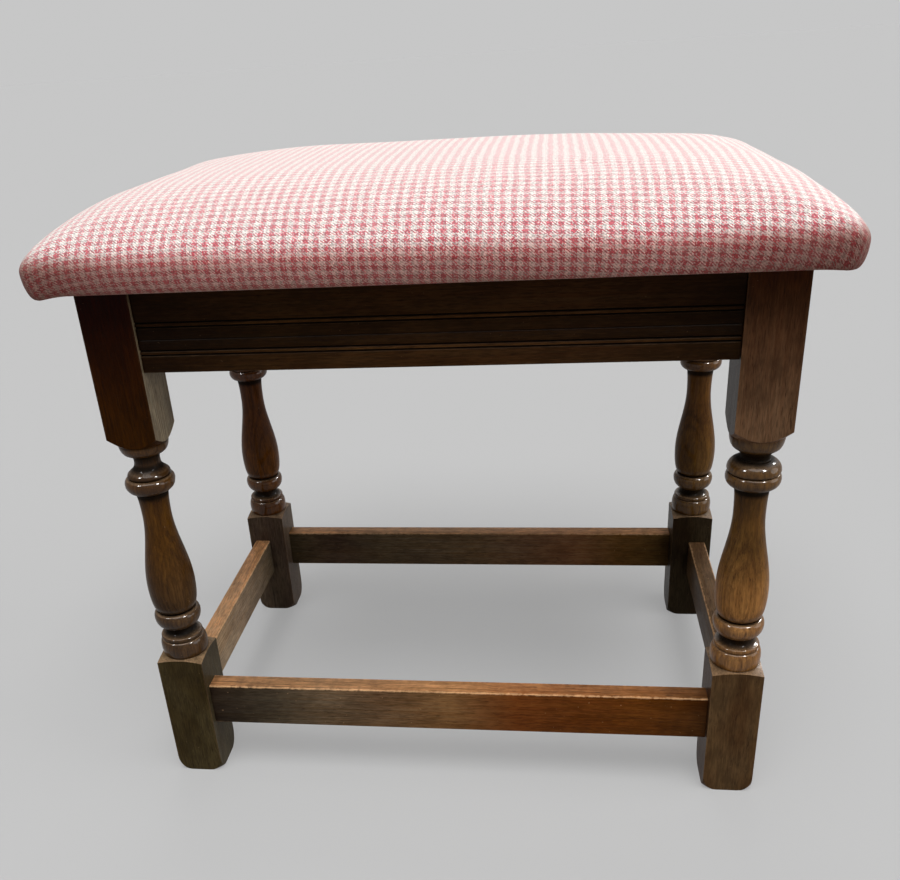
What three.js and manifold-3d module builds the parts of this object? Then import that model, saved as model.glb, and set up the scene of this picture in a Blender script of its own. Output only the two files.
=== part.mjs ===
// Upholstered footstool in millimetres, +Z up, origin on the floor under the middle of the seat.
import * as THREE from 'three';
import { mergeVertices } from 'three/addons/utils/BufferGeometryUtils.js';
import Module from 'manifold-3d';

const wasm = await Module();
wasm.setup();

// Frame
const frameLength = 480; // over the legs, along X
const frameDepth = 297; // over the legs, along Y
const frameHeight = 420; // floor to the top of the legs and rails
const jointGap = 0.3; // glue line and fabric clearance
const cutOverrun = 1; // how far a cutting solid runs past what it cuts

// Legs
const legSquare = 38;
const legEasing = 0.9; // flat on each long edge
const footBlockHeight = 112.3; // floor to the corners of the foot block
const topBlockHeight = 109.6; // square part at the top, at its corners
const turningAllowance = 1.6; // how far the turning blank stands off the square's corners
const footClipHeight = 4; // corners cut away at the floor
const footClipRadius = 22.5;
const legSegments = 16;
const vaseSteps = 5;

// Turned members, each with its own height and radius, from the foot block up
const footShoulderHeight = 2.8;
const baseBead = { height: 14.6, root: 17.2, peak: 18.7, top: 16, peakShare: 0.5 };
const baseFillet = { height: 3.7, root: 15.6, peak: 16.8, top: 15.7, peakShare: 0.45 };
const lowerCove = { height: 7.4, peak: 10, top: 11.6, peakShare: 0.85 };
const lowerRing = { height: 14.8, peak: 18.6, top: 15.4, peakShare: 0.66 };
const ringQuirk = { height: 1.6, radius: 13.6 };
const vaseFoot = { height: 22, radius: 14.8 };
const vaseBellyRadius = 18.9;
const vaseNeckRadius = 11.1;
const vaseLip = { height: 20.4, radius: 12.6 };
const lipQuirk = { height: 1, radius: 12 };
const collarBead = { height: 10.4, root: 13.2, peak: 18.9, top: 16.8, peakShare: 0.6 };
const collarQuirk = { height: 0.9, radius: 16 };
const cushionBead = { height: 9, root: 17.2, peak: 18.4, top: 10.6, peakShare: 0.2 };
const upperNeck = { height: 5, peak: 9.9, top: 10.8, peakShare: 0.5 };
const ovoloFillet = { height: 3.4, radius: 14 };
const ovolo = { height: 10.4, radius: 18.6 };
const postShoulderHeight = 7.6;

// Seat rails
const railHeight = 60;
const railThickness = 20;
const railSetback = 2.4; // rail face behind the leg face
const railTenonThickness = 10;
const railTenonFoot = 8; // shoulder under the tenon
const railTenonHaunch = 12; // shoulder over the tenon
const grooveWidth = 1.8;
const grooveDepth = 1.6;
const lowerGroovePair = 12.6; // rail's lower edge to the first groove
const upperGroovePair = 32.4;
const groovePitch = 3.2; // between the two grooves of a pair
const scratchHeight = 23.6; // single scratched line between the pairs
const scratchWidth = 1.2;
const scratchDepth = 0.5;

// Stretchers
const stretcherRise = 48; // floor to the stretcher
const stretcherHeight = 38;
const stretcherThickness = 15.8;
const stretcherSetback = 5.6;
const stretcherEasing = 1.2;
const stretcherTenonThickness = 8;
const stretcherTenonShoulder = 5;
const tenonWall = 2.4; // wood left between two tenons that meet in a leg

// Corner blocks
const blockReach = 66; // along each rail from the corner of the rails
const blockTip = 8;
const blockHeight = 25;
const blockDrop = 2; // below the top of the frame
const blockScrewPlace = 44; // along the rail from the corner of the rails
const blockScrewStand = 16; // wood between the screw's head and the rail
const blockScrewBite = 14;
const seatScrewPlace = 26;
const seatScrewRecess = 5;
const seatScrewBite = 9;

// Screws
const screwShankRadius = 2;
const screwHeadRadius = 4;
const screwHeadHeight = 2.4;
const screwPointHeight = 3;
const screwSlotWidth = 1;
const screwSlotDepth = 1;
const screwRecessClearance = 1;
const screwSegments = 10;

// Seat form, over the cover
const seatEndOverhang = 26; // beyond the legs at each end
const seatSideOverhang = 21.5; // beyond the legs at the front and rear
const seatLength = frameLength + seatEndOverhang * 2;
const seatDepth = frameDepth + seatSideOverhang * 2;
const seatCornerRadius = 8;
const seatCornerGrowthShare = 1; // how much the corners round off towards the crown
const seatSideHeight = 17.2; // lower edge to the widest line
const seatTuck = 5; // lower edge drawn in from the widest line
const seatRollWidth = 78;
const seatRollHeight = 40;
const seatRollPower = 1.72;
const seatCrownHeight = 6;
const seatCrownPower = 1.8;
const sideSteps = 2;
const rollSteps = 5;
const crownShares = [0.72, 0.38];
const cornerSteps = 4;
const longSideSteps = 6;
const shortSideSteps = 4;

// Cover, pad, board and lining
const coverThickness = 1.2;
const padFootTuck = 1; // pad's lower edge drawn in from its widest line
const hemWidth = 34; // cover turned under the board
const boardThickness = 12;
const boardCornerRadius = 9;
const liningThickness = 0.6;
const liningGap = 0.6; // lining's edge to the hem's edge

// Tacks
const tackHeadRadius = 3;
const tackHeadHeight = 0.9;
const tackShankRadius = 0.8;
const tackLength = 8;
const tackHoleDepthAllowance = 1;
const tackSegments = 8;
const liningTackStand = 6; // in from the rails' inner faces
const longHemTackCount = 5;
const shortHemTackCount = 3;
const hemTackSpreadShare = 0.8; // of the board's side that the row of tacks takes
const longLiningTackCount = 3;
const shortLiningTackCount = 1;
const liningTackSpreadShare = 0.4; // of the opening between the rails

// Materials
function paint(color, roughness, metalness) {
  return new THREE.MeshStandardMaterial({ color, roughness, metalness });
}
const darkOak = paint(0x3b2418, 0.35, 0);
const wornOak = paint(0x5a3620, 0.38, 0);
const blockWood = paint(0x8a6a45, 0.7, 0);
const plywood = paint(0xb08a5a, 0.75, 0);
const foam = paint(0xd9cfa8, 0.95, 0);
const checkCloth = paint(0xd9a3a6, 0.95, 0);
const liningCloth = paint(0x1c1b1d, 0.9, 0);
const screwSteel = paint(0x8b8378, 0.4, 0.9);
const tackSteel = paint(0x2c2a2b, 0.45, 0.8);

// Solids
function solidOf(geometry) {
  const bare = geometry.clone();
  bare.deleteAttribute('normal');
  bare.deleteAttribute('uv');
  const merged = mergeVertices(bare);
  return new wasm.Manifold(
    new wasm.Mesh({
      numProp: 3,
      vertProperties: new Float32Array(merged.attributes.position.array),
      triVerts: new Uint32Array(merged.index.array),
    }),
  );
}

function geometryOf(solid) {
  const mesh = solid.getMesh();
  const geometry = new THREE.BufferGeometry();
  geometry.setAttribute('position', new THREE.BufferAttribute(mesh.vertProperties, 3));
  geometry.setIndex(new THREE.BufferAttribute(mesh.triVerts, 1));
  geometry.computeVertexNormals();
  return geometry;
}

function boxBetween(low, high) {
  const size = new THREE.Vector3().subVectors(high, low);
  const middle = new THREE.Vector3().addVectors(high, low).multiplyScalar(1 / 2);
  return new THREE.BoxGeometry(size.x, size.y, size.z).translate(middle.x, middle.y, middle.z);
}

// A closed outline of (radius, height) points turned about the Z axis.
function turned(outline, segments) {
  return new THREE.LatheGeometry(outline, segments).rotateX(Math.PI / 2);
}

function uprightBore(radius, x, y, low, high, segments) {
  const bore = new THREE.CylinderGeometry(radius, radius, high - low, segments);
  return bore.rotateX(Math.PI / 2).translate(x, y, (low + high) / 2);
}

// A bore along Y, from the nearer face at yLow to yHigh.
function levelBore(radius, x, z, yLow, yHigh, segments) {
  const bore = new THREE.CylinderGeometry(radius, radius, yHigh - yLow, segments);
  return bore.translate(x, (yLow + yHigh) / 2, z);
}

function extruded(points, height) {
  const outline = new THREE.Shape(points.map(([x, y]) => new THREE.Vector2(x, y)));
  return new THREE.ExtrudeGeometry(outline, { depth: height, bevelEnabled: false });
}

// An outline of (depth, height) points run along X, centred on the origin.
function runAlongX(points, length) {
  const lengthwise = new THREE.Matrix4().makeBasis(
    new THREE.Vector3(0, 1, 0),
    new THREE.Vector3(0, 0, 1),
    new THREE.Vector3(1, 0, 0),
  );
  return extruded(points, length).applyMatrix4(lengthwise).translate(-length / 2, 0, 0);
}

// Turned outline of a leg
function quarter(outline, radius, height, radialFirst, steps) {
  const start = outline[outline.length - 1];
  for (let i = 1; i <= steps; i += 1) {
    const angle = ((Math.PI / 2) * i) / steps;
    const radialShare = radialFirst ? Math.sin(angle) : 1 - Math.cos(angle);
    const axialShare = radialFirst ? 1 - Math.cos(angle) : Math.sin(angle);
    const r = start.x + (radius - start.x) * radialShare;
    outline.push(new THREE.Vector2(r, start.y + height * axialShare));
  }
}

// A bead where the peak radius is the largest, a cove where it is the smallest.
function member(outline, part, lowSteps, highSteps) {
  const base = outline[outline.length - 1].y;
  outline.push(new THREE.Vector2(part.root, base));
  quarter(outline, part.peak, part.height * part.peakShare, true, lowSteps);
  quarter(outline, part.top, part.height * (1 - part.peakShare), false, highSteps);
}

function quirk(outline, part) {
  const base = outline[outline.length - 1].y;
  outline.push(new THREE.Vector2(part.radius, base));
  outline.push(new THREE.Vector2(part.radius, base + part.height));
}

function legOutline() {
  const cornerRadius = legSquare * Math.SQRT1_2;
  const blankRadius = cornerRadius + turningAllowance;
  const footSlope = footShoulderHeight / (cornerRadius - baseBead.root);
  const postSlope = postShoulderHeight / (cornerRadius - ovolo.radius);
  const members = [baseBead, baseFillet, lowerCove, lowerRing, ringQuirk, vaseFoot, vaseLip, lipQuirk,
    collarBead, collarQuirk, cushionBead, upperNeck, ovoloFillet, ovolo];
  const memberHeights = members.reduce((sum, part) => sum + part.height, 0);
  const turnedHeight = frameHeight - footBlockHeight - topBlockHeight;
  const bellyToNeck = turnedHeight - memberHeights - footShoulderHeight - postShoulderHeight;

  const outline = [new THREE.Vector2(0, 0)];
  outline.push(new THREE.Vector2(footClipRadius, 0));
  const clipSlope = footClipHeight / (cornerRadius - footClipRadius);
  outline.push(new THREE.Vector2(blankRadius, clipSlope * (blankRadius - footClipRadius)));
  outline.push(new THREE.Vector2(blankRadius, footBlockHeight - footSlope * turningAllowance));
  outline.push(new THREE.Vector2(baseBead.root, footBlockHeight + footShoulderHeight));
  quarter(outline, baseBead.peak, baseBead.height * baseBead.peakShare, true, 2);
  quarter(outline, baseBead.top, baseBead.height * (1 - baseBead.peakShare), false, 2);
  member(outline, baseFillet, 1, 1);
  quarter(outline, lowerCove.peak, lowerCove.height * lowerCove.peakShare, true, 3);
  quarter(outline, lowerCove.top, lowerCove.height * (1 - lowerCove.peakShare), false, 1);
  quarter(outline, lowerRing.peak, lowerRing.height * lowerRing.peakShare, true, 3);
  quarter(outline, lowerRing.top, lowerRing.height * (1 - lowerRing.peakShare), false, 2);
  quirk(outline, ringQuirk);
  outline.push(new THREE.Vector2(vaseFoot.radius, outline[outline.length - 1].y));
  quarter(outline, vaseBellyRadius, vaseFoot.height, true, 3);
  const belly = outline[outline.length - 1];
  for (let i = 1; i <= vaseSteps; i += 1) {
    const share = i / vaseSteps;
    const drawn = (1 - Math.cos(Math.PI * share)) / 2;
    const r = vaseBellyRadius + (vaseNeckRadius - vaseBellyRadius) * drawn;
    outline.push(new THREE.Vector2(r, belly.y + bellyToNeck * share));
  }
  quarter(outline, vaseLip.radius, vaseLip.height, false, 2);
  quirk(outline, lipQuirk);
  member(outline, collarBead, 3, 2);
  quirk(outline, collarQuirk);
  member(outline, cushionBead, 1, 3);
  quarter(outline, upperNeck.peak, upperNeck.height * upperNeck.peakShare, true, 1);
  quarter(outline, upperNeck.top, upperNeck.height * (1 - upperNeck.peakShare), false, 1);
  outline.push(new THREE.Vector2(ovoloFillet.radius, outline[outline.length - 1].y + ovoloFillet.height));
  quarter(outline, ovolo.radius, ovolo.height, true, 3);
  const postFoot = frameHeight - topBlockHeight;
  outline.push(new THREE.Vector2(blankRadius, postFoot + postSlope * turningAllowance));
  outline.push(new THREE.Vector2(blankRadius, frameHeight));
  outline.push(new THREE.Vector2(0, frameHeight));
  return outline;
}

// Joints that a leg shares with what it carries
const railInner = railSetback + railThickness;
const stretcherInner = stretcherSetback + stretcherThickness;
const railTenonLength = legSquare - (railInner + railSetback + railTenonThickness) / 2 - tenonWall;
const stretcherTenonLength =
  legSquare - (stretcherInner + stretcherSetback + stretcherTenonThickness) / 2 - tenonWall;

const railJoint = {
  near: (railSetback + railInner - railTenonThickness) / 2,
  thickness: railTenonThickness,
  length: railTenonLength,
  low: frameHeight - railHeight + railTenonFoot,
  high: frameHeight - railTenonHaunch,
};
const stretcherJoint = {
  near: (stretcherSetback + stretcherInner - stretcherTenonThickness) / 2,
  thickness: stretcherTenonThickness,
  length: stretcherTenonLength,
  low: stretcherRise + stretcherTenonShoulder,
  high: stretcherRise + stretcherHeight - stretcherTenonShoulder,
};

// Mortise in the leg's +X face, in a frame with its origin at the leg's outer corner
function mortise(joint) {
  return boxBetween(
    new THREE.Vector3(legSquare - joint.length - jointGap, joint.near - jointGap, joint.low - jointGap),
    new THREE.Vector3(
      legSquare + cutOverrun,
      joint.near + joint.thickness + jointGap,
      joint.high + jointGap,
    ),
  );
}

function mirroredOnDiagonal(geometry) {
  const swap = new THREE.Matrix4().makeBasis(
    new THREE.Vector3(0, 1, 0),
    new THREE.Vector3(1, 0, 0),
    new THREE.Vector3(0, 0, 1),
  );
  const mirrored = geometry.clone().applyMatrix4(swap);
  const index = mirrored.index.array;
  for (let i = 0; i < index.length; i += 3) {
    [index[i], index[i + 1]] = [index[i + 1], index[i]];
  }
  return mirrored;
}

function legGeometry() {
  const middle = legSquare / 2;
  const eased = legSquare - legEasing;
  const square = extruded(
    [[legEasing, 0], [eased, 0], [legSquare, legEasing], [legSquare, eased],
      [eased, legSquare], [legEasing, legSquare], [0, eased], [0, legEasing]],
    frameHeight + cutOverrun * 2,
  ).translate(0, 0, -cutOverrun);
  let leg = solidOf(turned(legOutline(), legSegments).translate(middle, middle, 0));
  leg = leg.intersect(solidOf(square));
  for (const joint of [railJoint, stretcherJoint]) {
    const cut = mortise(joint);
    leg = leg.subtract(solidOf(cut)).subtract(solidOf(mirroredOnDiagonal(cut)));
  }
  return geometryOf(leg);
}

// Rails and stretchers, each with its outer face towards -Y and its ends in two legs
function withTenons(body, span, joint) {
  const shoulder = span / 2 - legSquare - jointGap;
  let solid = solidOf(body);
  for (const side of [-1, 1]) {
    const inside = side * (shoulder - cutOverrun);
    const outside = side * (shoulder + jointGap + joint.length);
    const tenon = boxBetween(
      new THREE.Vector3(Math.min(inside, outside), joint.near, joint.low),
      new THREE.Vector3(Math.max(inside, outside), joint.near + joint.thickness, joint.high),
    );
    solid = solid.add(solidOf(tenon));
  }
  return solid;
}

function groove(height, width, depth) {
  const face = railSetback;
  return [[face, height + width / 2], [face + depth, height], [face, height - width / 2]];
}

function railGeometry(span) {
  const foot = frameHeight - railHeight;
  const section = [
    [railSetback, foot],
    [railInner, foot],
    [railInner, frameHeight],
    [railSetback, frameHeight],
    ...groove(foot + upperGroovePair + groovePitch, grooveWidth, grooveDepth),
    ...groove(foot + upperGroovePair, grooveWidth, grooveDepth),
    ...groove(foot + scratchHeight, scratchWidth, scratchDepth),
    ...groove(foot + lowerGroovePair + groovePitch, grooveWidth, grooveDepth),
    ...groove(foot + lowerGroovePair, grooveWidth, grooveDepth),
  ];
  const length = span - (legSquare + jointGap) * 2;
  let rail = withTenons(runAlongX(section, length), span, railJoint);
  const holeTop = railInner + cutOverrun;
  const holeFoot = railInner - blockScrewBite - jointGap;
  for (const side of [-1, 1]) {
    const x = side * (span / 2 - railInner - blockScrewPlace);
    const radius = screwShankRadius + jointGap;
    rail = rail.subtract(solidOf(levelBore(radius, x, blockMiddle, holeFoot, holeTop, screwSegments)));
  }
  return geometryOf(rail);
}

function stretcherGeometry(span) {
  const top = stretcherRise + stretcherHeight;
  const section = [
    [stretcherSetback, stretcherRise],
    [stretcherInner, stretcherRise],
    [stretcherInner, top - stretcherEasing],
    [stretcherInner - stretcherEasing, top],
    [stretcherSetback + stretcherEasing, top],
    [stretcherSetback, top - stretcherEasing],
  ];
  const length = span - (legSquare + jointGap) * 2;
  return geometryOf(withTenons(runAlongX(section, length), span, stretcherJoint));
}

// Corner block, in the same frame as the leg
const blockTop = frameHeight - blockDrop;
const blockFoot = blockTop - blockHeight;
const blockMiddle = blockTop - blockHeight / 2;
const blockScrewAcross = railInner + blockScrewPlace;
const blockScrewSeat = railInner + blockScrewStand;
const seatScrewAcross = railInner + seatScrewPlace;
const seatScrewSeat = blockFoot + seatScrewRecess;

function blockGeometry() {
  const near = railInner + jointGap;
  const notch = legSquare + jointGap;
  const far = railInner + blockReach;
  const outline = [[notch, near], [far, near], [far, near + blockTip], [near + blockTip, far],
    [near, far], [near, notch], [notch, notch]];
  let block = solidOf(extruded(outline, blockHeight).translate(0, 0, blockFoot));
  const shank = screwShankRadius + jointGap;
  const recess = screwHeadRadius + screwRecessClearance;
  const past = far + cutOverrun;
  const through = levelBore(shank, blockScrewAcross, blockMiddle, near - cutOverrun, past, screwSegments);
  const pocket = levelBore(recess, blockScrewAcross, blockMiddle, blockScrewSeat, past, screwSegments);
  for (const cut of [through, pocket]) {
    block = block.subtract(solidOf(cut)).subtract(solidOf(mirroredOnDiagonal(cut)));
  }
  const low = blockFoot - cutOverrun;
  const high = blockTop + cutOverrun;
  const at = seatScrewAcross;
  block = block.subtract(solidOf(uprightBore(shank, at, at, low, high, screwSegments)));
  block = block.subtract(solidOf(uprightBore(recess, at, at, low, seatScrewSeat, screwSegments)));
  return geometryOf(block);
}

// Slotted screw along +Z, its head's bearing face at the origin and its head below
function screwGeometry(length) {
  const outline = [
    [0, -screwHeadHeight],
    [screwHeadRadius, -screwHeadHeight],
    [screwHeadRadius, 0],
    [screwShankRadius, 0],
    [screwShankRadius, length - screwPointHeight],
    [0, length],
  ].map(([r, z]) => new THREE.Vector2(r, z));
  const reach = screwHeadRadius + cutOverrun;
  const slot = boxBetween(
    new THREE.Vector3(-reach, -screwSlotWidth / 2, -screwHeadHeight - cutOverrun),
    new THREE.Vector3(reach, screwSlotWidth / 2, -screwHeadHeight + screwSlotDepth),
  );
  return geometryOf(solidOf(turned(outline, screwSegments)).subtract(solidOf(slot)));
}

// Seat form
const boardFoot = frameHeight + coverThickness + jointGap * 2;
const boardTop = boardFoot + boardThickness;
const seatFoot = frameHeight + jointGap;
const seatWidest = seatFoot + seatSideHeight;
const boardLength = seatLength - (seatTuck + coverThickness + jointGap) * 2;
const boardDepth = seatDepth - (seatTuck + coverThickness + jointGap) * 2;

function roundedOutline(length, depth, radius) {
  const corners = [[1, 1], [-1, 1], [-1, -1], [1, -1]];
  const points = [];
  corners.forEach(([sx, sy], turn) => {
    const centre = [sx * (length / 2 - radius), sy * (depth / 2 - radius)];
    for (let i = 0; i <= cornerSteps; i += 1) {
      const angle = (Math.PI / 2) * (turn + i / cornerSteps);
      points.push([centre[0] + radius * Math.cos(angle), centre[1] + radius * Math.sin(angle)]);
    }
    const [nx, ny] = corners[(turn + 1) % corners.length];
    const next = (Math.PI / 2) * (turn + 1);
    const from = points[points.length - 1];
    const to = [nx * (length / 2 - radius) + radius * Math.cos(next),
      ny * (depth / 2 - radius) + radius * Math.sin(next)];
    const steps = sx === sy ? longSideSteps : shortSideSteps;
    for (let i = 1; i < steps; i += 1) {
      points.push([from[0] + ((to[0] - from[0]) * i) / steps, from[1] + ((to[1] - from[1]) * i) / steps]);
    }
  });
  return points;
}

function flatRing(length, depth, radius, level) {
  return roundedOutline(length, depth, radius).map(([x, y]) => [x, y, level]);
}

// Height of the crown over the roll, at a place given from the middle of the seat
function crownAt(x, y) {
  const alongLength = 1 - (Math.abs(x) / (seatLength / 2)) ** seatCrownPower;
  const alongDepth = 1 - (Math.abs(y) / (seatDepth / 2)) ** seatCrownPower;
  return seatCrownHeight * Math.max(alongLength, 0) * Math.max(alongDepth, 0);
}

// Rings of the padded form from the widest line to the top, drawn in by an inset on every side
function domeRings(inset) {
  const rings = [];
  const rollHeight = seatRollHeight - inset;
  for (let i = 0; i <= rollSteps; i += 1) {
    const share = 1 - Math.cos(((Math.PI / 2) * i) / rollSteps);
    const drawn = seatRollWidth * share;
    const rise = rollHeight * (1 - (1 - share) ** seatRollPower) ** (1 / seatRollPower);
    const length = seatLength - drawn * 2;
    const depth = seatDepth - drawn * 2;
    const radius = Math.min(seatCornerRadius + seatCornerGrowthShare * drawn, depth / 2);
    const outer = roundedOutline(length, depth, radius);
    const inner = roundedOutline(length - inset * 2, depth - inset * 2, radius - inset);
    rings.push(inner.map(([x, y], k) => [x, y, seatWidest + rise + crownAt(...outer[k])]));
  }
  const last = rings[rings.length - 1];
  const level = seatWidest + rollHeight;
  for (const share of crownShares) {
    rings.push(last.map(([x, y]) => [x * share, y * share, level + crownAt(x * share, y * share)]));
  }
  return rings;
}

// Rings of the side from the lower edge up to just under the widest line
function sideRings(inset, foot) {
  const rings = [];
  for (let i = 0; i < sideSteps; i += 1) {
    const angle = ((Math.PI / 2) * i) / sideSteps;
    const drawn = seatTuck * (1 - Math.sin(angle)) + inset;
    const level = foot + (seatWidest - foot) * (1 - Math.cos(angle));
    rings.push(flatRing(seatLength - drawn * 2, seatDepth - drawn * 2, seatCornerRadius - inset, level));
  }
  return rings;
}

// Skin over a list of rings of equal count, closed at each end to a point
function skinOver(rings, startPoint, endPoint) {
  const count = rings[0].length;
  const positions = rings.flat(2);
  const index = [];
  const at = (ring, k) => ring * count + (k % count);
  for (let ring = 0; ring + 1 < rings.length; ring += 1) {
    for (let k = 0; k < count; k += 1) {
      index.push(at(ring, k), at(ring, k + 1), at(ring + 1, k + 1));
      index.push(at(ring, k), at(ring + 1, k + 1), at(ring + 1, k));
    }
  }
  const closeTo = (point, ring, flipped) => {
    const apex = positions.length / 3;
    positions.push(...point);
    for (let k = 0; k < count; k += 1) {
      const pair = flipped ? [at(ring, k + 1), at(ring, k)] : [at(ring, k), at(ring, k + 1)];
      index.push(...pair, apex);
    }
  };
  closeTo(startPoint, 0, true);
  closeTo(endPoint, rings.length - 1, false);
  const geometry = new THREE.BufferGeometry();
  geometry.setAttribute('position', new THREE.Float32BufferAttribute(positions, 3));
  geometry.setIndex(index);
  return geometry;
}

function padGeometry() {
  const inset = coverThickness + jointGap;
  const foot = boardTop + jointGap;
  const drawn = inset + padFootTuck;
  const radius = seatCornerRadius - drawn;
  const base = flatRing(seatLength - drawn * 2, seatDepth - drawn * 2, radius, foot);
  const top = seatWidest + seatRollHeight + seatCrownHeight - inset;
  return geometryOf(solidOf(skinOver([base, ...domeRings(inset)], [0, 0, foot], [0, 0, top])));
}

function coverGeometry() {
  const top = seatWidest + seatRollHeight + seatCrownHeight;
  const hemLength = seatLength - (seatTuck + hemWidth) * 2;
  const hemDepth = seatDepth - (seatTuck + hemWidth) * 2;
  const hemRing = (level) => flatRing(hemLength, hemDepth, seatCornerRadius, level);
  const form = (inset) => {
    const foot = seatFoot + inset;
    const rings = [hemRing(foot), ...sideRings(inset, foot), ...domeRings(inset)];
    return solidOf(skinOver(rings, [0, 0, foot], [0, 0, top - inset]));
  };
  const low = seatFoot - cutOverrun;
  const mouth = solidOf(skinOver([hemRing(low), hemRing(boardTop)], [0, 0, low], [0, 0, boardTop]));
  let cover = form(0).subtract(form(coverThickness)).subtract(mouth);
  for (const [x, y] of hemTackPlaces()) cover = cover.subtract(tackHole(x, y, low, boardFoot));
  return geometryOf(cover);
}

// Tacks
function rowOfTacks(length, depth, longCount, shortCount, spreadShare) {
  const places = [];
  const spread = (span, count, i) => (count > 1 ? span * spreadShare * (i / (count - 1) - 1 / 2) : 0);
  for (const side of [-1, 1]) {
    for (let i = 0; i < longCount; i += 1) {
      places.push([spread(length, longCount, i), (side * depth) / 2]);
    }
    for (let i = 0; i < shortCount; i += 1) {
      places.push([(side * length) / 2, spread(depth, shortCount, i)]);
    }
  }
  return places;
}

// Half way between the legs' faces and the board's edge
function hemTackPlaces() {
  const length = (frameLength + boardLength) / 2;
  const depth = (frameDepth + boardDepth) / 2;
  return rowOfTacks(length, depth, longHemTackCount, shortHemTackCount, hemTackSpreadShare);
}

const liningLength = seatLength - (seatTuck + hemWidth + liningGap) * 2;
const liningDepth = seatDepth - (seatTuck + hemWidth + liningGap) * 2;

function liningTackPlaces() {
  const length = frameLength - (railInner + liningTackStand) * 2;
  const depth = frameDepth - (railInner + liningTackStand) * 2;
  return rowOfTacks(length, depth, longLiningTackCount, shortLiningTackCount, liningTackSpreadShare);
}

function tackHole(x, y, low, high) {
  return solidOf(uprightBore(tackShankRadius + jointGap, x, y, low, high, tackSegments));
}

// Tack with its shank up, its head's bearing face at the origin
function tackGeometry() {
  const outline = [
    [0, -tackHeadHeight],
    [tackHeadRadius * Math.SQRT1_2, -tackHeadHeight],
    [tackHeadRadius, 0],
    [tackShankRadius, 0],
    [0, tackLength],
  ].map(([r, z]) => new THREE.Vector2(r, z));
  return turned(outline, tackSegments);
}

// Board and lining
function seatScrewPlaces() {
  const x = frameLength / 2 - seatScrewAcross;
  const y = frameDepth / 2 - seatScrewAcross;
  return [[-x, -y], [x, -y], [x, y], [-x, y]];
}

function sheetGeometry(length, depth, radius, foot, thickness) {
  return extruded(roundedOutline(length, depth, radius), thickness).translate(0, 0, foot);
}

function boardGeometry() {
  let board = solidOf(sheetGeometry(boardLength, boardDepth, boardCornerRadius, boardFoot, boardThickness));
  const low = boardFoot - cutOverrun;
  const screwHigh = boardFoot + seatScrewBite + jointGap;
  for (const [x, y] of seatScrewPlaces()) {
    const hole = uprightBore(screwShankRadius + jointGap, x, y, low, screwHigh, screwSegments);
    board = board.subtract(solidOf(hole));
  }
  const tackHigh = boardFoot + tackLength + tackHoleDepthAllowance;
  for (const [x, y] of [...hemTackPlaces(), ...liningTackPlaces()]) {
    board = board.subtract(tackHole(x, y, low, tackHigh));
  }
  return geometryOf(board);
}

const liningFoot = boardFoot - jointGap - liningThickness;

function liningGeometry() {
  const sheet = sheetGeometry(liningLength, liningDepth, seatCornerRadius, liningFoot, liningThickness);
  let lining = solidOf(sheet);
  const low = liningFoot - cutOverrun;
  const high = boardFoot;
  for (const [x, y] of seatScrewPlaces()) {
    const hole = uprightBore(screwShankRadius + jointGap, x, y, low, high, screwSegments);
    lining = lining.subtract(solidOf(hole));
  }
  for (const [x, y] of liningTackPlaces()) lining = lining.subtract(tackHole(x, y, low, high));
  return geometryOf(lining);
}

// Assembly
const group = new THREE.Group();

function piece(name, geometry, material, parent = group) {
  const mesh = new THREE.Mesh(geometry, material);
  mesh.name = name;
  parent.add(mesh);
  return mesh;
}

const leg = legGeometry();
const block = blockGeometry();
const blockScrew = screwGeometry(blockScrewStand + blockScrewBite);
const seatScrew = screwGeometry(boardFoot + seatScrewBite - seatScrewSeat);

// Each corner is drawn with the leg's outer corner at the origin and turned into place.
const corners = [
  ['front_left', -1, -1],
  ['front_right', 1, -1],
  ['rear_right', 1, 1],
  ['rear_left', -1, 1],
];
corners.forEach(([place, sx, sy], turns) => {
  const corner = new THREE.Group();
  corner.position.set((sx * frameLength) / 2, (sy * frameDepth) / 2, 0);
  corner.rotation.z = (Math.PI / 2) * turns;
  group.add(corner);
  piece(`leg_${place}`, leg, darkOak, corner);
  piece(`corner_block_${place}`, block, blockWood, corner);
  const first = piece(`block_screw_${place}_a`, blockScrew, screwSteel, corner);
  first.position.set(blockScrewAcross, blockScrewSeat, blockMiddle);
  first.rotation.x = Math.PI / 2;
  const second = piece(`block_screw_${place}_b`, blockScrew, screwSteel, corner);
  second.position.set(blockScrewSeat, blockScrewAcross, blockMiddle);
  second.rotation.y = -Math.PI / 2;
  const upright = piece(`seat_screw_${place}`, seatScrew, screwSteel, corner);
  upright.position.set(seatScrewAcross, seatScrewAcross, seatScrewSeat);
});

// Each side is drawn as the front and turned into place.
const sides = [
  ['front', frameLength, 0, -1],
  ['right', frameDepth, 1, 0],
  ['rear', frameLength, 0, 1],
  ['left', frameDepth, -1, 0],
];
sides.forEach(([place, span, sx, sy], turns) => {
  const side = new THREE.Group();
  side.position.set((sx * frameLength) / 2, (sy * frameDepth) / 2, 0);
  side.rotation.z = (Math.PI / 2) * turns;
  group.add(side);
  piece(`rail_${place}`, railGeometry(span), darkOak, side);
  piece(`stretcher_${place}`, stretcherGeometry(span), wornOak, side);
});

piece('seat_board', boardGeometry(), plywood);
piece('seat_pad', padGeometry(), foam);
piece('seat_cover', coverGeometry(), checkCloth);
piece('bottom_lining', liningGeometry(), liningCloth);

const tack = tackGeometry();
hemTackPlaces().forEach(([x, y], i) => {
  piece(`hem_tack_${i + 1}`, tack, tackSteel).position.set(x, y, seatFoot - jointGap);
});
liningTackPlaces().forEach(([x, y], i) => {
  piece(`lining_tack_${i + 1}`, tack, tackSteel).position.set(x, y, liningFoot - jointGap);
});

export default group;
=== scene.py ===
import math

import bmesh
import bpy
import numpy as np
from mathutils import Matrix, Vector


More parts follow.
